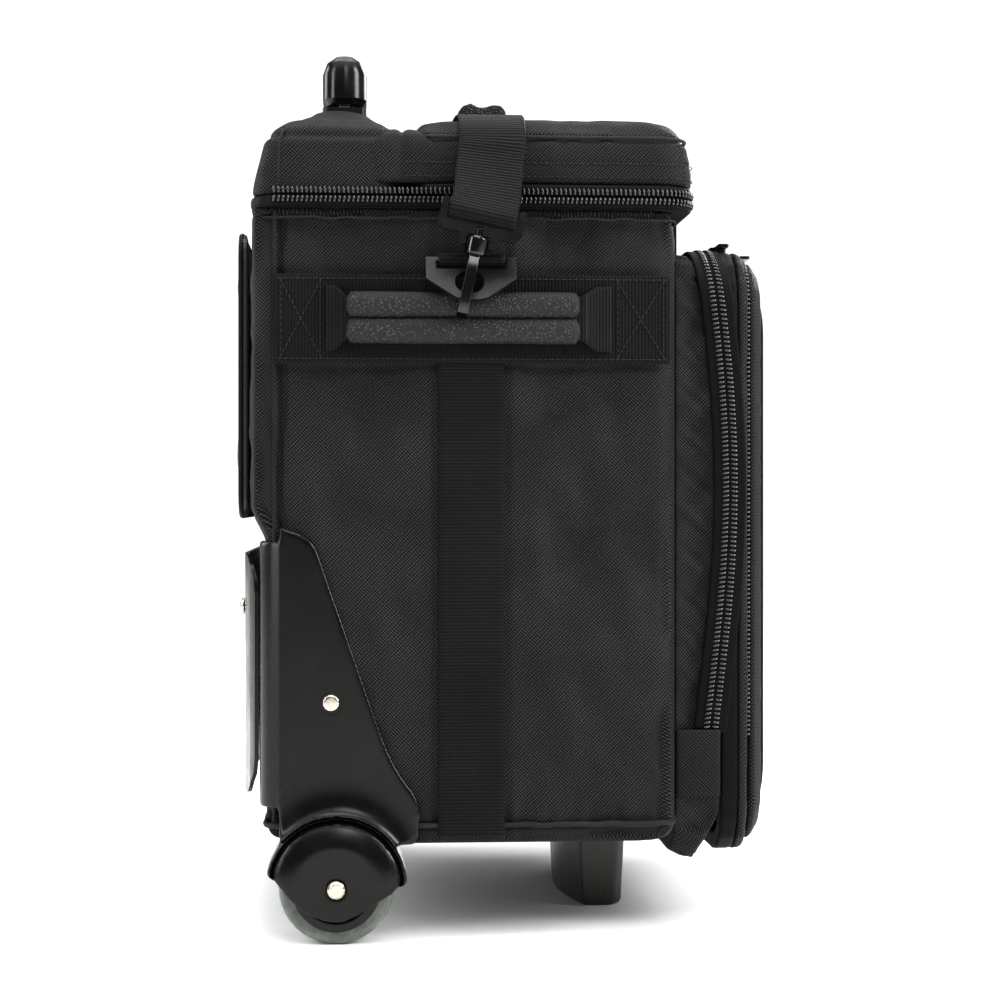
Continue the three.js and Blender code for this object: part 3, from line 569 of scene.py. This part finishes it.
def rear_cloth(points, normals):
    """The fixed rear top: a seam round it and gathers along the crease."""
    _, _, y0, _, z0, _ = edge_of("rear_top")
    x, y, z = points.T
    outer = (normals[:, 2] > 0.25) | (np.abs(normals[:, 2]) < 0.7)
    amount = -0.0011 * near(z, z0 + 34 * MM, 1.6 * MM) + 0.0007 * slack(x, y + z, 60 * MM)
    amount = amount - 0.0009 * near(y, y0, 9 * MM) * (1 + puckers(x, 19 * MM))
    return np.where(outer, amount, 0)[:, None] * unit(normals)


def hanging(z):
    """How far the pocket's loose bottom hangs below its CAD solid."""
    z0 = edge_of("shoe_gusset")[4]
    return -0.009 * (1 - rising(z, z0 + 4 * MM, z0 + 120 * MM))


def hung(route):
    return route + np.outer(hanging(route[:, 2]), Z_AXIS)


def with_hang(amount, points, normals):
    moved = amount[:, None] * unit(normals)
    moved[:, 2] += hanging(points[:, 2])
    return moved


def gusset_cloth(points, normals):
    """The pocket's side strip, with deep folds where it hangs from the zip."""
    _, x1, y0, y1, z0, z1 = edge_of("shoe_gusset")
    x, y, z = points.T
    flank = np.abs(normals[:, 0]) > 0.6
    along = np.where(flank, z, x)
    middle = np.sin(np.clip((y - y0) / (y1 - y0), 0, 1) * math.pi)
    amount = -0.0026 * middle * (1 + puckers(along + 0.6 * y, 31 * MM)) * 0.6
    amount = amount - 0.0009 * middle * (1 + puckers(along - 0.8 * y, 15 * MM))
    outside = np.maximum(np.abs(x) / x1, np.abs(z - (z0 + z1) / 2) / ((z1 - z0) / 2)) > 0.965
    moved = with_hang(np.where(outside, amount, 0), points, normals)
    low = 1 - rising(z, z0, z0 + 30 * MM)
    moved[:, 2] -= 0.007 * middle * low
    moved[:, 1] += 0.009 * low * (1 - rising(y, y0, y0 + 16 * MM))
    return moved


def band_cloth(points, normals):
    """The zip's band only hangs with the pocket."""
    return with_hang(np.zeros(len(points)), points, normals)


def door_cloth(points, normals):
    """The pocket's front, a little slack between its seams."""
    x, _, z = points.T
    facing = normals[:, 1] < -0.5
    return with_hang(np.where(facing, 0.0005 * slack(x, z, 60 * MM), 0), points, normals)


FLAP_SEAM = 22 * MM    # from the flap's edge to its sewn seam


def flap_cloth(points, normals):
    """A padded panel with a seam round its edge and slack across its face."""
    _, x1, _, _, z0, z1 = edge_of("accessory_flap")
    x, _, z = points.T
    inset = np.minimum(x1 - np.abs(x), np.minimum(z - z0, z1 - z))
    along_seam = np.where(np.abs(x) > 0.1, z, x)
    facing = normals[:, 1] < -0.2
    amount = -0.0013 * near(inset, FLAP_SEAM, 2.0 * MM)
    amount = amount + 0.0011 * slack(x, z, 75 * MM) * rising(inset, FLAP_SEAM, 50 * MM)
    amount = amount - 0.0007 * near(inset, FLAP_SEAM, 9 * MM) * (1 + puckers(along_seam, 18 * MM))
    return with_hang(np.where(facing, amount, 0), points, normals)


def sleeve_cloth(points, normals):
    """The smooth panel on the back, with a seam below its open top."""
    z1 = edge_of("back_sleeve")[5]
    x, _, z = points.T
    amount = 0.0009 * slack(x, z, 64 * MM) - 0.0005 * near(z, z1 - 9 * MM, 1.4 * MM)
    return np.where(normals[:, 1] > 0.3, amount, 0)[:, None] * unit(normals)


def dress_shells():
    """Each soft shell: CAD node, piece, voxel in mm, finish, moves, body, slot and how full it is."""
    shells = (
        ("body_shell", "body_cloth", 2.2, TWILL, body_cloth, "root", "shell_fabric", 0.7),
        ("lid", "lid_cloth", 1.8, TWILL, lid_cloth, "lid", "shell_fabric", 0.9),
        ("rear_top", "rear_top_cloth", 1.8, TWILL, rear_cloth, "root", "shell_fabric", 0.8),
        ("shoe_gusset", "gusset_cloth", 1.8, TWILL, gusset_cloth, "root", "shell_fabric", None),
        ("shoe_door", "door_cloth", 1.8, TWILL, door_cloth, "shoe_door", "shell_fabric", None),
        ("accessory_flap", "flap_cloth", 1.8, HERRINGBONE, flap_cloth, "accessory_flap",
         "shell_fabric", 0.3),
        ("back_sleeve", "sleeve_cloth", 1.6, SATIN, sleeve_cloth, "root", "smooth_fabric", None),
        ("ball_cradle", "cradle_foam", 2.5, FOAM, None, "root", "foam", 1.0),
    )
    for node, name, voxel, finish, move, body, slot_name, fill in shells:
        piece = cad_cloth(node, name, voxel * MM, finish, move)
        stand_for(piece, body, slot_name, node)


WEB_Y = sum(edge_of("side_webbing_left")[2:4]) / 2
BAND_Z = sum(edge_of("side_band_left")[4:6]) / 2
BACK_FACE_Y = edge_of("body_shell")[3]
SIDE_SEAM_Y = BACK_FACE_Y - 17 * MM
BODY_BACK_Y = BACK_FACE_Y - 9.5 * MM
BASE_SEAM_Z = edge_of("body_shell")[4] + 11 * MM
LID_RIM_Z = edge_of("lid")[4] + 27 * MM


# ---- Routes, stitches, piping and zips ----

JOINT_AT = {joint["name"]: Vector(joint["pos_m"]) for joint in frame["joints"] if "pos_m" in joint}


def arc(centre, radius, start, end):
    angle = np.radians(np.linspace(start, end, 8))
    return [(centre[0] + radius * math.cos(a), centre[1] + radius * math.sin(a)) for a in angle]


def rounded(x0, x1, y0, y1, corner):
    """A closed outline of a rectangle with round corners, from the middle of its y1 side."""
    c = corner
    return [((x0 + x1) / 2, y1), *arc((x1 - c, y1 - c), c, 90, 0), *arc((x1 - c, y0 + c), c, 0, -90),
            *arc((x0 + c, y0 + c), c, 270, 180), *arc((x0 + c, y1 - c), c, 180, 90)]


def u_shape(x, front, back, corner):
    """Round the front of a rectangle, from (x, back) to (-x, back)."""
    c = corner
    return [(x, back), *arc((x - c, front + c), c, 0, -90), *arc((c - x, front + c), c, 270, 180),
            (-x, back)]


def level(outline, z):
    return np.array([(a, b, z) for a, b in outline])


def upright(outline, y):
    return np.array([(a, y, b) for a, b in outline])


def outward(route, up=Z_AXIS):
    """Unit directions that face away from the middle of a route, square to it and to up."""
    out = unit(np.cross(tangents(route), up))
    away = (route - route.mean(axis=0)) * out
    return out if away.sum() > 0 else -out


def piping(name, route, radius, finish=THREAD, side=Z_AXIS, wobble=0.0):
    """A round cord sewn into a seam, all the way round a closed route."""
    step = 3 * MM
    route = resampled(route, step, True)
    waves = puckers(np.arange(len(route)) * step, 26 * MM)
    route = route + (wobble * waves)[:, None] * side
    return joined(name, [sweep(route, oval(2 * radius, 2 * radius, 8), side, True)], finish)


def beads(places, along, out, length, radius, lift=0.0, bulge=0.0):
    """A (points, faces, uvs) part of small rounded bars: stitches, or the turns of a zip's coil."""
    ends = np.array([-0.5, -0.4, 0.0, 0.4, 0.5])
    widths = np.array([0.45, 0.9, 1.0, 0.9, 0.45]) * radius
    rise = lift + bulge * (1 - (2 * ends) ** 2)
    over = unit(np.cross(along, out))
    angle = np.linspace(0, 2 * math.pi, 6, endpoint=False)
    centre = (places[:, None] + ends[None, :, None] * length * along[:, None]
              + rise[None, :, None] * out[:, None])
    ring = (np.cos(angle)[None, :, None] * over[:, None] + np.sin(angle)[None, :, None] * out[:, None])
    points = centre[:, :, None] + widths[None, :, None, None] * ring[:, None]
    count, rows, sides = points.shape[:3]
    faces = []
    for n in range(count):
        base = n * rows * sides
        for i in range(rows - 1):
            for j in range(sides):
                k = (j + 1) % sides
                faces.append((base + i * sides + j, base + i * sides + k,
                              base + (i + 1) * sides + k, base + (i + 1) * sides + j))
        faces.append(tuple(base + j for j in range(sides - 1, -1, -1)))
        faces.append(tuple(base + (rows - 1) * sides + j for j in range(sides)))
    total = sum(len(f) for f in faces)
    return points.reshape(-1, 3), faces, np.zeros((total, 2))


def stitch_part(route, out):
    """Stitches of one seam. out is a direction, or one for each point of the route."""
    even = resampled(route, STITCH_PITCH)
    facing = np.asarray(out, float)
    if facing.ndim == 2:
        facing = np.stack([np.interp(np.linspace(0, 1, len(even)), np.linspace(0, 1, len(facing)),
                                     facing[:, k]) for k in range(3)], axis=1)
    facing = unit(np.broadcast_to(facing, even.shape))
    return beads(even, tangents(even), facing, 0.74 * STITCH_PITCH, 0.32 * MM, 0.15 * MM, 0.1 * MM)


def coil_part(route, out, across, reach=4.0 * MM, gap=0.5 * MM):
    """One half of a coil zip: a slanted, domed turn at each tooth, reaching across the tape."""
    even = resampled(route, TOOTH_PITCH)
    out = unit(np.broadcast_to(out(even) if callable(out) else out, even.shape))
    lean = unit(np.broadcast_to(across, even.shape) + 0.14 * tangents(even))
    places = even + (gap + reach / 2) * unit(np.broadcast_to(across, even.shape))
    return beads(places, lean, out, reach, 0.82 * MM, 0.2 * MM, 0.4 * MM)


def zip_rows(name, rows, body):
    stand_for(joined(name, rows, COIL), body, "zip_coil")


def main_zip():
    """Tapes round the rim of the body and the lid, and the coil halves between them."""
    _, x1, front, lid_back, split, _ = edge_of("main_zip_upper")
    back = edge_of("main_zip_lower")[3]
    middle = (split + edge_of("main_zip_lower")[5]) / 2
    corner = 20 * MM
    lid_route = level(u_shape(x1, front, lid_back, corner), middle)
    body_route = level(u_shape(x1, front, back - 14 * MM, corner), middle)
    for node, body in (("main_zip_lower", "root"), ("main_zip_upper", "lid")):
        tape = cad_cloth(node, node + "_tape", 1.6 * MM, TAPE, relax=1)
        stand_for(tape, body, "smooth_fabric", node)
    zip_rows("main_coil_upper", [coil_part(lid_route, outward, Z_AXIS)], "lid")
    rear = [coil_part(np.array([(k * x1, lid_back + 2 * MM, middle), (k * x1, back - 14 * MM, middle)]),
                      (k, 0, 0), Z_AXIS) for k in (1, -1)]
    zip_rows("main_coil_lower", [coil_part(body_route, outward, -Z_AXIS), *rear], "root")


def face_front(line):
    return outward(line, Y_AXIS)


def shoe_zip():
    """The shoe pocket's zip bows out along each side and ends above the bottom, in a sewn patch."""
    _, x1, _, y1, z0, z1 = edge_of("shoe_zip")
    end = z0 + 68 * MM
    turn = resampled([(a, 0, -b) for a, b in u_shape(x1 + 0.2 * MM, -z1 - 0.2 * MM, -end, 34 * MM)],
                     4 * MM)
    share = (turn[:, 2] - end) / (z1 - end)
    turn[:, 1] = y1 + 6.5 * MM - 11.5 * MM * np.sin(np.clip(share, 0, 1) * math.pi)
    turn = hung(turn)
    zip_rows("shoe_coil_fixed", [coil_part(turn, face_front, Y_AXIS, 4.2 * MM)], "root")
    zip_rows("shoe_coil_opening", [coil_part(turn, face_front, -Y_AXIS, 4.2 * MM)], "shoe_door")
    band = cad_cloth("shoe_zip", "shoe_zip_band", 1.8 * MM, TAPE, band_cloth)
    stand_for(band, "shoe_door", "smooth_fabric", "shoe_zip")
    tape = webbing("shoe_zip_tape", turn - 0.3 * MM * face_front(turn), 19 * MM, Y_AXIS,
                   1.2 * MM, TAPE)
    stand_for(tape, "root", "smooth_fabric")
    for name, k in SIDES:
        middle = (y1 + edge_of("shoe_gusset")[3]) / 2
        patch = resampled([(k * (x1 - 0.2 * MM), middle, z0 + 34 * MM),
                           (k * (x1 + 0.4 * MM), middle, end - 6 * MM),
                           (k * (x1 + 0.9 * MM), middle, end + 1 * MM)], 2 * MM)
        cover = webbing(f"zip_patch_{name}", hung(patch), 26 * MM, Y_AXIS, 2.0 * MM, TWILL)
        stand_for(cover, "root", "shell_fabric")


def accessory_zip():
    """The smaller zip, round the flap on the pocket's door."""
    _, x1, _, y1, z0, z1 = edge_of("accessory_flap")
    turn = resampled([(a, 0, -b) for a, b in u_shape(x1 + 1.2 * MM, -z1 - 1.2 * MM, -z0 - 60 * MM,
                                                     28 * MM)], 4 * MM)
    turn[:, 1] = y1 + 0.4 * MM
    turn = hung(turn)
    zip_rows("accessory_coil", [coil_part(turn, face_front, Y_AXIS, 3.0 * MM, -1.5 * MM)], "shoe_door")


# ---- Webbing and grips ----

def webbing(name, path, widths, side, thickness=1.7 * MM, finish=WEBBING):
    """A woven strap: flat, round-edged, its width along side."""
    widths = np.broadcast_to(widths, len(path))
    sections = np.stack([strip(w, thickness, 12) for w in widths])
    return joined(name, [sweep(path, sections, side)], finish)


def side_webbings():
    """The upright webbing on each side, folded round its ring plate's bar at the top."""
    for name, k in SIDES:
        x0, x1, y0, y1, z0, _ = edge_of(f"side_webbing_{name}")
        pivot = JOINT_AT[f"ring_hinge_{name}"]
        flat = k * (min(abs(x0), abs(x1)) + 0.85 * MM)
        wrap = 3.3 * MM
        loop = [(pivot.x + k * wrap * math.cos(a), pivot.z + wrap * math.sin(a))
                for a in np.radians(range(180, -61, -20))]
        run = [(flat, z) for z in np.arange(z0, pivot.z - 9 * MM, 6 * MM)]
        line = [*run, (flat, pivot.z - 9 * MM), (flat + k * 0.65 * MM, pivot.z - 4 * MM), *loop,
                (pivot.x - k * 1.3 * MM, pivot.z - 4.4 * MM)]
        middle = (y0 + y1) / 2
        path = curved([(x, middle, z) for x, z in line], 2 * MM)
        piece = webbing(f"upright_webbing_{name}", path, y1 - y0, Y_AXIS)
        stand_for(piece, "root", "webbing", f"side_webbing_{name}")


def side_bands():
    """The level band each handle is sewn to, with a box and cross of stitches at its ends."""
    for name, k in SIDES:
        x0, x1, y0, y1, z0, z1 = edge_of(f"side_band_{name}")
        middle = ((x0 + x1) / 2, (z0 + z1) / 2)
        path = resampled([(middle[0], y0, middle[1]), (middle[0], y1, middle[1])], 2 * MM)
        piece = webbing(f"band_webbing_{name}", path, z1 - z0, Z_AXIS, x1 - x0)
        stand_for(piece, "root", "webbing", f"side_band_{name}")
        face = k * (max(abs(x0), abs(x1)) + 0.1 * MM)
        at = lambda pairs: np.array([(face, a, b) for a, b in pairs])
        low, high = z0 + 4 * MM, z1 - 4 * MM
        lines = [at([(y0 + 3 * MM, z), (y1 - 3 * MM, z)]) for z in (z0 + 2.5 * MM, z1 - 2.5 * MM)]
        for start, end in ((y0 + 4 * MM, y0 + 30 * MM), (y1 - 26 * MM, y1 - 4 * MM)):
            lines += [at([(start, low), (start, high)]), at([(end, low), (end, high)]),
                      at([(start, low), (end, high)]), at([(start, high), (end, low)])]
        sewn = joined(f"band_stitches_{name}", [stitch_part(s, (k, 0, 0)) for s in lines], THREAD)
        stand_for(sewn, "root", "webbing")


def rolls(node, name):
    """Two soft rubber rolls side by side, closed round the handle's webbing."""
    x0, x1, y0, y1, z0, z1 = edge_of(node)
    middle, reach = (x0 + x1) / 2, (x1 - x0) / 2 + 0.3 * MM
    middle += math.copysign(0.5 * MM, middle)
    half = (z1 - z0) / 4
    along = np.linspace(0, 1, 60)
    end = 1 - np.clip(1 - np.minimum(along, 1 - along) * (y1 - y0) / (3.5 * MM), 0, 1) ** 2.5 * 0.5
    parts = []
    for shift, phase in ((half, 0.0), (-half, 2.0)):
        swell = end * (1 + 0.03 * np.sin(along * 9 + phase))
        section = oval(2 * half * 0.99, 2 * reach, 24)[None] * swell[:, None, None]
        path = np.stack([np.full(60, middle), y0 + along * (y1 - y0),
                         np.full(60, (z0 + z1) / 2 + shift)], axis=1)
        parts.append(sweep(path, section, Z_AXIS))
    return joined(name, parts, RUBBER)


HANDLE_SEWN_X, HANDLE_LIFTED_X = 175.4 * MM, 180.3 * MM


def side_handles():
    """The handle's webbing, sewn down wide at its ends and narrower inside its grip."""
    for name, k in SIDES:
        _, _, y0, y1, z0, z1 = edge_of(f"side_handle_{name}")
        outer, inner = k * HANDLE_LIFTED_X, k * HANDLE_SEWN_X
        z = (z0 + z1) / 2
        wide, narrow = z1 - z0, 23 * MM
        line = [(inner, y1, wide), (inner + k * 1.2 * MM, y1 - 5 * MM, wide * 0.96),
                (outer - k * 0.6 * MM, y1 - 10 * MM, narrow * 1.1), (outer, y1 - 17 * MM, narrow),
                (outer, y0 + 25 * MM, narrow), (outer - k * 0.6 * MM, y0 + 17 * MM, narrow * 1.1),
                (inner + k * 1.4 * MM, y0 + 9 * MM, wide * 0.96), (inner, y0, wide)]
        path = curved([(x, y, z) for x, y, _ in line], 2 * MM)
        widths = np.interp(path[:, 1], *zip(*sorted((y, w) for _, y, w in line)))
        piece = webbing(f"handle_webbing_{name}", path, widths, Z_AXIS, 1.8 * MM)
        stand_for(piece, "root", "webbing", f"side_handle_{name}")
        grip = rolls(f"side_grip_{name}", f"handle_rolls_{name}")
        stand_for(grip, f"side_grip_{name}", "grip_rubber", f"side_grip_{name}")


STRAP_Y = 9.8 * MM
STRAP_LEAN = math.radians(12)
LEAN_START, LEAN_LENGTH = 29 * MM, 34 * MM    # below the strap's top, where it starts to lean


def strap_line(k):
    """Half of the carry strap, from the top of the lid down to the fold round a hook's pin."""
    hook = JOINT_AT[f"hook_swivel_{'right' if k > 0 else 'left'}"]
    top = edge_of("carry_strap")[5] - 0.9 * MM
    drops = [(0, 0), (40, 0), (80, 2), (114, 5.4), (141, 9.5), (158, 13.7), (167.5, 20.5),
             (172.7, 29), (176, 38), (182, 50.5), (189, 63)]
    pin_rise = 14 * MM
    pin = (abs(hook.x), hook.y - pin_rise * math.sin(STRAP_LEAN),
           hook.z + pin_rise * math.cos(STRAP_LEAN))
    leaned = lambda z: pin[1] - (z - pin[2]) * math.tan(STRAP_LEAN)
    full_lean = leaned(top - LEAN_START - LEAN_LENGTH)
    points = []
    for x, drop in drops:
        z = top - drop * MM
        share = min(max((top - LEAN_START - z) / LEAN_LENGTH, 0), 1)
        points.append((x * MM, STRAP_Y + share * (full_lean - STRAP_Y), z))
    fold = [(3.8, 2), (3.4, -1.4), (2, -3.1), (0, -3.7), (-2, -3.1), (-3.4, -1.4), (-3.8, 3),
            (-4.6, 9), (-8.5, 17)]
    for dx, dz in fold:
        z = pin[2] + dz * MM
        points.append((pin[0] + dx * MM, leaned(z), z))
    return [(k * x, y, z) for x, y, z in points]


def carry_strap():
    """The webbing from hook to hook over the lid, turning to lean forward as it comes down."""
    path = curved(strap_line(-1)[:0:-1] + strap_line(1), 2 * MM)
    top = path[:, 2].max()
    lean = STRAP_LEAN * np.clip((top - LEAN_START - path[:, 2]) / LEAN_LENGTH, 0, 1)
    side = np.stack([0 * lean, np.cos(lean), np.sin(lean)], axis=1)
    strap = webbing("carry_webbing", path, 38 * MM, side, 1.8 * MM)
    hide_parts("carry_strap")
    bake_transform(strap)
    grip = cad_cloth("strap_grip", "strap_rolls", 1.3 * MM, RUBBER, relax=2)
    stand_for(grip, "lid", "grip_rubber", "strap_grip")


# ---- Wheel housings and rivets ----

PLATE_INNER_X, PLATE_OUTER_X = 172.3 * MM, 176 * MM    # either side of the plate's outer face
CAP_X = 178.5 * MM
RIVET_SEAT_X = 174.1 * MM


def moulded(points, normals):
    """One soft moulding: a fillet where the plate meets the wheel cap, and a domed cap."""
    axle = JOINT_AT["wheel_spin_right"]
    x, y, z = points.T
    out, radius = np.abs(x), np.hypot(y - axle.y, z - axle.z)
    plate = (out > PLATE_INNER_X) & (out < PLATE_OUTER_X) & (z > axle.z)
    plate = plate & (np.abs(normals[:, 0]) > 0.5)
    fillet = 0.0052 * np.exp(-np.maximum(radius - 40 * MM, 0) / (5.5 * MM)) * plate
    cap = (out > CAP_X) & (radius < 46 * MM)
    dome = -0.0060 * rising(radius, 22 * MM, 44 * MM) * cap
    moved = np.zeros_like(points)
    moved[:, 0] = np.sign(x) * (fillet + dome)
    return moved


def ring(name, centre, radius, width, thickness, finish):
    """A flat ring that faces sideways."""
    angle = np.linspace(0, 2 * math.pi, 48, endpoint=False)
    route = np.stack([0 * angle + centre[0], centre[1] + radius * np.cos(angle),
                      centre[2] + radius * np.sin(angle)], axis=1)
    return joined(name, [sweep(route, oval(thickness, width, 10), X_AXIS, True)], finish)


def wheel_housings():
    """Each housing, the dark seat round its rivet, and the trim ring of its wheel."""
    for name, k in SIDES:
        node = f"wheel_housing_{name}"
        piece = cad_cloth(node, f"housing_{name}", 1.1 * MM, HOUSING, moulded, relax=14)
        stand_for(piece, "root", "housing_plastic", node)
        low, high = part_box(f"housing_rivet_{name}")
        middle = (low + high) / 2
        seat = (k * RIVET_SEAT_X, middle.y, middle.z)
        stand_for(ring(f"rivet_seat_{name}", seat, 5.4 * MM, 1.4 * MM, 0.8 * MM, GLOSS),
                  "root", "gloss_plastic")
        axle = JOINT_AT[f"wheel_spin_{name}"]
        face = (k * (abs(axle.x) + 11.6 * MM), axle.y, axle.z)
        stand_for(ring(f"wheel_trim_{name}", face, 22.4 * MM, 5.6 * MM, 0.9 * MM, GLOSS),
                  f"wheel_{name}", "gloss_plastic")


# ---- Seams ----

def welt(name, line, width, sides, finish):
    part = sweep(line, oval(width, width, sides), Y_AXIS)
    stand_for(joined(name, [part], finish), "root", "shell_fabric")


def body_seams():
    """The binding round the base, the hem under the zip, and the welts up the back edges."""
    x0, x1, y0, y1, z0, z1 = edge_of("body_shell")
    base = level(rounded(x0 + 0.3 * MM, x1 - 0.3 * MM, y0 + 0.3 * MM, BODY_BACK_Y, 14 * MM),
                 BASE_SEAM_Z)
    stand_for(piping("base_binding", base, 1.5 * MM, wobble=0.5 * MM), "root", "shell_fabric")
    hem = level(rounded(x0 - 0.2 * MM, x1 + 0.2 * MM, y0 - 0.2 * MM, y1 - 6 * MM, 14 * MM),
                z1 - 5.5 * MM)
    stand_for(piping("top_hem", hem, 0.7 * MM, wobble=0.7 * MM), "root", "shell_fabric")
    crown_base = edge_of("rear_top")[4]
    for name, k in SIDES:
        line = np.array([(k * (x1 - 0.6 * MM), SIDE_SEAM_Y + 1.8 * MM, z)
                         for z in np.linspace(z0 + 14 * MM, z1 - 2 * MM, 40)])
        welt(f"side_welt_{name}", line, 2.1 * MM, 10, HERRINGBONE)
        crown = curved([(k * (x1 - 0.7 * MM), SIDE_SEAM_Y, crown_base + 1 * MM),
                        (k * (x1 - 1.0 * MM), SIDE_SEAM_Y - 1 * MM, crown_base + 28 * MM),
                        (k * (x1 - 5 * MM), SIDE_SEAM_Y - 3 * MM, crown_base + 37 * MM)], 2 * MM)
        welt(f"crown_welt_{name}", crown, 1.6 * MM, 8, THREAD)


def lid_seams():
    """The piping round the lid's rim, and the rows of stitches beside the zip."""
    low, high, front, back, lid_base, _ = edge_of("lid")
    rim = level(rounded(low + 3.2 * MM, high - 3.2 * MM, front + 3.6 * MM, back - 2 * MM, 17 * MM),
                LID_RIM_Z)
    stand_for(piping("lid_piping", rim, 1.1 * MM), "lid", "shell_fabric")
    side_line = u_shape(high + 0.1 * MM, front - 0.1 * MM, back - 3 * MM, 18 * MM)
    rows = []
    for rise in (4 * MM, 12 * MM):
        route = level(side_line, lid_base + rise)
        rows.append(stitch_part(route, outward(resampled(route, 4 * MM))))
    stand_for(joined("lid_stitches", rows, THREAD), "lid", "shell_fabric")


def panel_bindings():
    """The flap's sewn seam and the sleeve's bound edge."""
    low, high, front, _, z_low, z_high = edge_of("accessory_flap")
    flap = upright(rounded(low + FLAP_SEAM, high - FLAP_SEAM, z_low + FLAP_SEAM,
                           z_high - FLAP_SEAM, 22 * MM), front + 3.4 * MM)
    stand_for(piping("flap_piping", hung(flap), 1.0 * MM, side=Y_AXIS), "accessory_flap", "shell_fabric")
    low, high, _, back, z_low, z_high = edge_of("back_sleeve")
    tape = upright(rounded(low + 1 * MM, high - 1 * MM, z_low + 1 * MM, z_high - 1 * MM, 15 * MM),
                   back - 3.6 * MM)
    stand_for(piping("sleeve_binding", tape, 1.7 * MM, WEBBING, side=Y_AXIS), "root", "webbing")


def crease_cloth():
    """The cloth that hinges the lid: on each side it bridges the rounded corners of the two
    pads with a soft crease down its middle."""
    half, shoulder = edge_of("lid")[1], edge_of("lid")[4] + 24 * MM
    base = edge_of("lid")[4] + 0.3 * MM
    gap_y = (edge_of("lid")[3] + edge_of("rear_top")[2]) / 2
    flank = [(half, z) for z in np.arange(base, shoulder, 3 * MM)]
    crown = [(half - 0.6 * MM, shoulder), (half - 2 * MM, shoulder + 3.5 * MM),
             (half - 5 * MM, shoulder + 6 * MM), (half - 11 * MM, shoulder + 8 * MM),
             (half - 22 * MM, shoulder + 9 * MM), (half - 60 * MM, shoulder + 9.5 * MM),
             (0, shoulder + 9.5 * MM)]
    profile = np.array(flank + crown)
    across = np.linspace(-1, 1, 25)
    dip = 1.8 * MM * near(across, 0, 0.2) + 1.2 * MM * across ** 4 + 0.3 * MM
    for name, k in SIDES:
        rise = rising(profile[:, 1], shoulder - 4 * MM, shoulder + 8 * MM)[:, None]
        reach = 19 * MM - 9 * MM * rise
        x = profile[:, :1] - dip * (1 - rise)
        z = profile[:, 1:] - dip * rise
        y = gap_y + across * reach
        points = np.stack([k * x, y, z], axis=2).reshape(-1, 3)
        n, m = x.shape
        faces = [(i * m + j, i * m + j + 1, (i + 1) * m + j + 1, (i + 1) * m + j)
                 for i in range(n - 1) for j in range(m - 1)]
        v = lengths(points.reshape(n, m, 3)[:, 0])
        uvs = [(points[c][1], v[c // m]) for face in faces for c in face]
        piece = make(f"crease_cloth_{name}", points, faces, uvs, TWILL)
        thick = piece.modifiers.new("thickness", "SOLIDIFY")
        thick.thickness, thick.offset = 0.8 * MM, 0
        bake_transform(piece)


# ---- Camera, light and floor ----

def place_camera():
    """Level with the middle of the bag, square to its left side, 1.2 m from the cloth."""
    data = bpy.data.cameras.new("photo_camera")
    data.sensor_width, data.lens = 36, 76.46
    camera = placed("photo_camera", data)
    camera.location = (-1.370, 0.0818, 0.250)
    yaw = math.radians(3.64)
    camera.rotation_euler = (math.pi / 2, 0, -math.pi / 2 - yaw)
    bpy.context.scene.camera = camera


def area_light(name, place, width, height, power):
    """A soft box that faces the middle of the bag."""
    data = bpy.data.lights.new(name, "AREA")
    data.shape, data.size, data.size_y, data.energy = "RECTANGLE", width, height, power
    light = placed(name, data)
    light.location = place
    light.rotation_euler = (Vector((0, 0, 0.25)) - Vector(place)).to_track_quat("-Z", "Y").to_euler()


def light_studio():
    """Soft boxes on both sides and a wide soft sun, against a white that lights little itself."""
    area_light("key", (-0.95, -1.9, 1.25), 0.8, 1.3, 46)
    area_light("front_left", (-1.9, -0.3, 1.7), 0.7, 0.7, 9)
    area_light("strip_back", (-0.9, 1.7, 0.9), 0.4, 1.5, 16)
    area_light("top", (-0.3, 0, 2.0), 1.2, 1.2, 16)
    area_light("far", (1.6, -1.2, 1.3), 0.9, 1.3, 26)
    area_light("rear", (0.9, 1.9, 0.9), 0.9, 1.2, 16)
    data = bpy.data.lights.new("wide_sun", "SUN")
    data.energy, data.angle = 2.7, math.radians(100)
    placed("wide_sun", data)
    scene = bpy.context.scene
    world = bpy.data.worlds.new("studio")
    world.use_nodes = True
    nodes, links = world.node_tree.nodes, world.node_tree.links
    seen = nodes.new("ShaderNodeLightPath").outputs["Is Camera Ray"]
    strength = nodes.new("ShaderNodeMapRange")
    links.new(seen, strength.inputs["Value"])
    strength.inputs["To Min"].default_value = 0.2
    strength.inputs["To Max"].default_value = 1.0
    nodes["Background"].inputs["Color"].default_value = (1, 1, 1, 1)
    links.new(strength.outputs[0], nodes["Background"].inputs["Strength"])
    scene.world = world
    scene.view_settings.view_transform = "Standard"
    scene.view_settings.look = "Medium High Contrast"


def lay_floor():
    """A plain pale sheet under the bag."""
    size = 6.0
    mesh = bpy.data.meshes.new("floor")
    corners = [(-size, -size, 0), (size, -size, 0), (size, size, 0), (-size, size, 0)]
    mesh.from_pydata(corners, [], [(0, 1, 2, 3)])
    floor = placed("floor", mesh)
    finish = Finish("floor_paper", (0.86, 0.86, 0.86), 0.7, Specular_IOR_Level=0.2)
    grain = finish.noise(finish.coordinates("Object"), 40.0)
    finish.mix(grain, (0.94, 0.94, 0.94), (0.97, 0.97, 0.97))
    mesh.materials.append(finish.material)


place_camera()
light_studio()
lay_floor()
dress_hard_pieces()
dress_shells()
main_zip()
shoe_zip()
accessory_zip()
side_webbings()
side_bands()
side_handles()
wheel_housings()
carry_strap()
body_seams()
lid_seams()
panel_bindings()
crease_cloth()
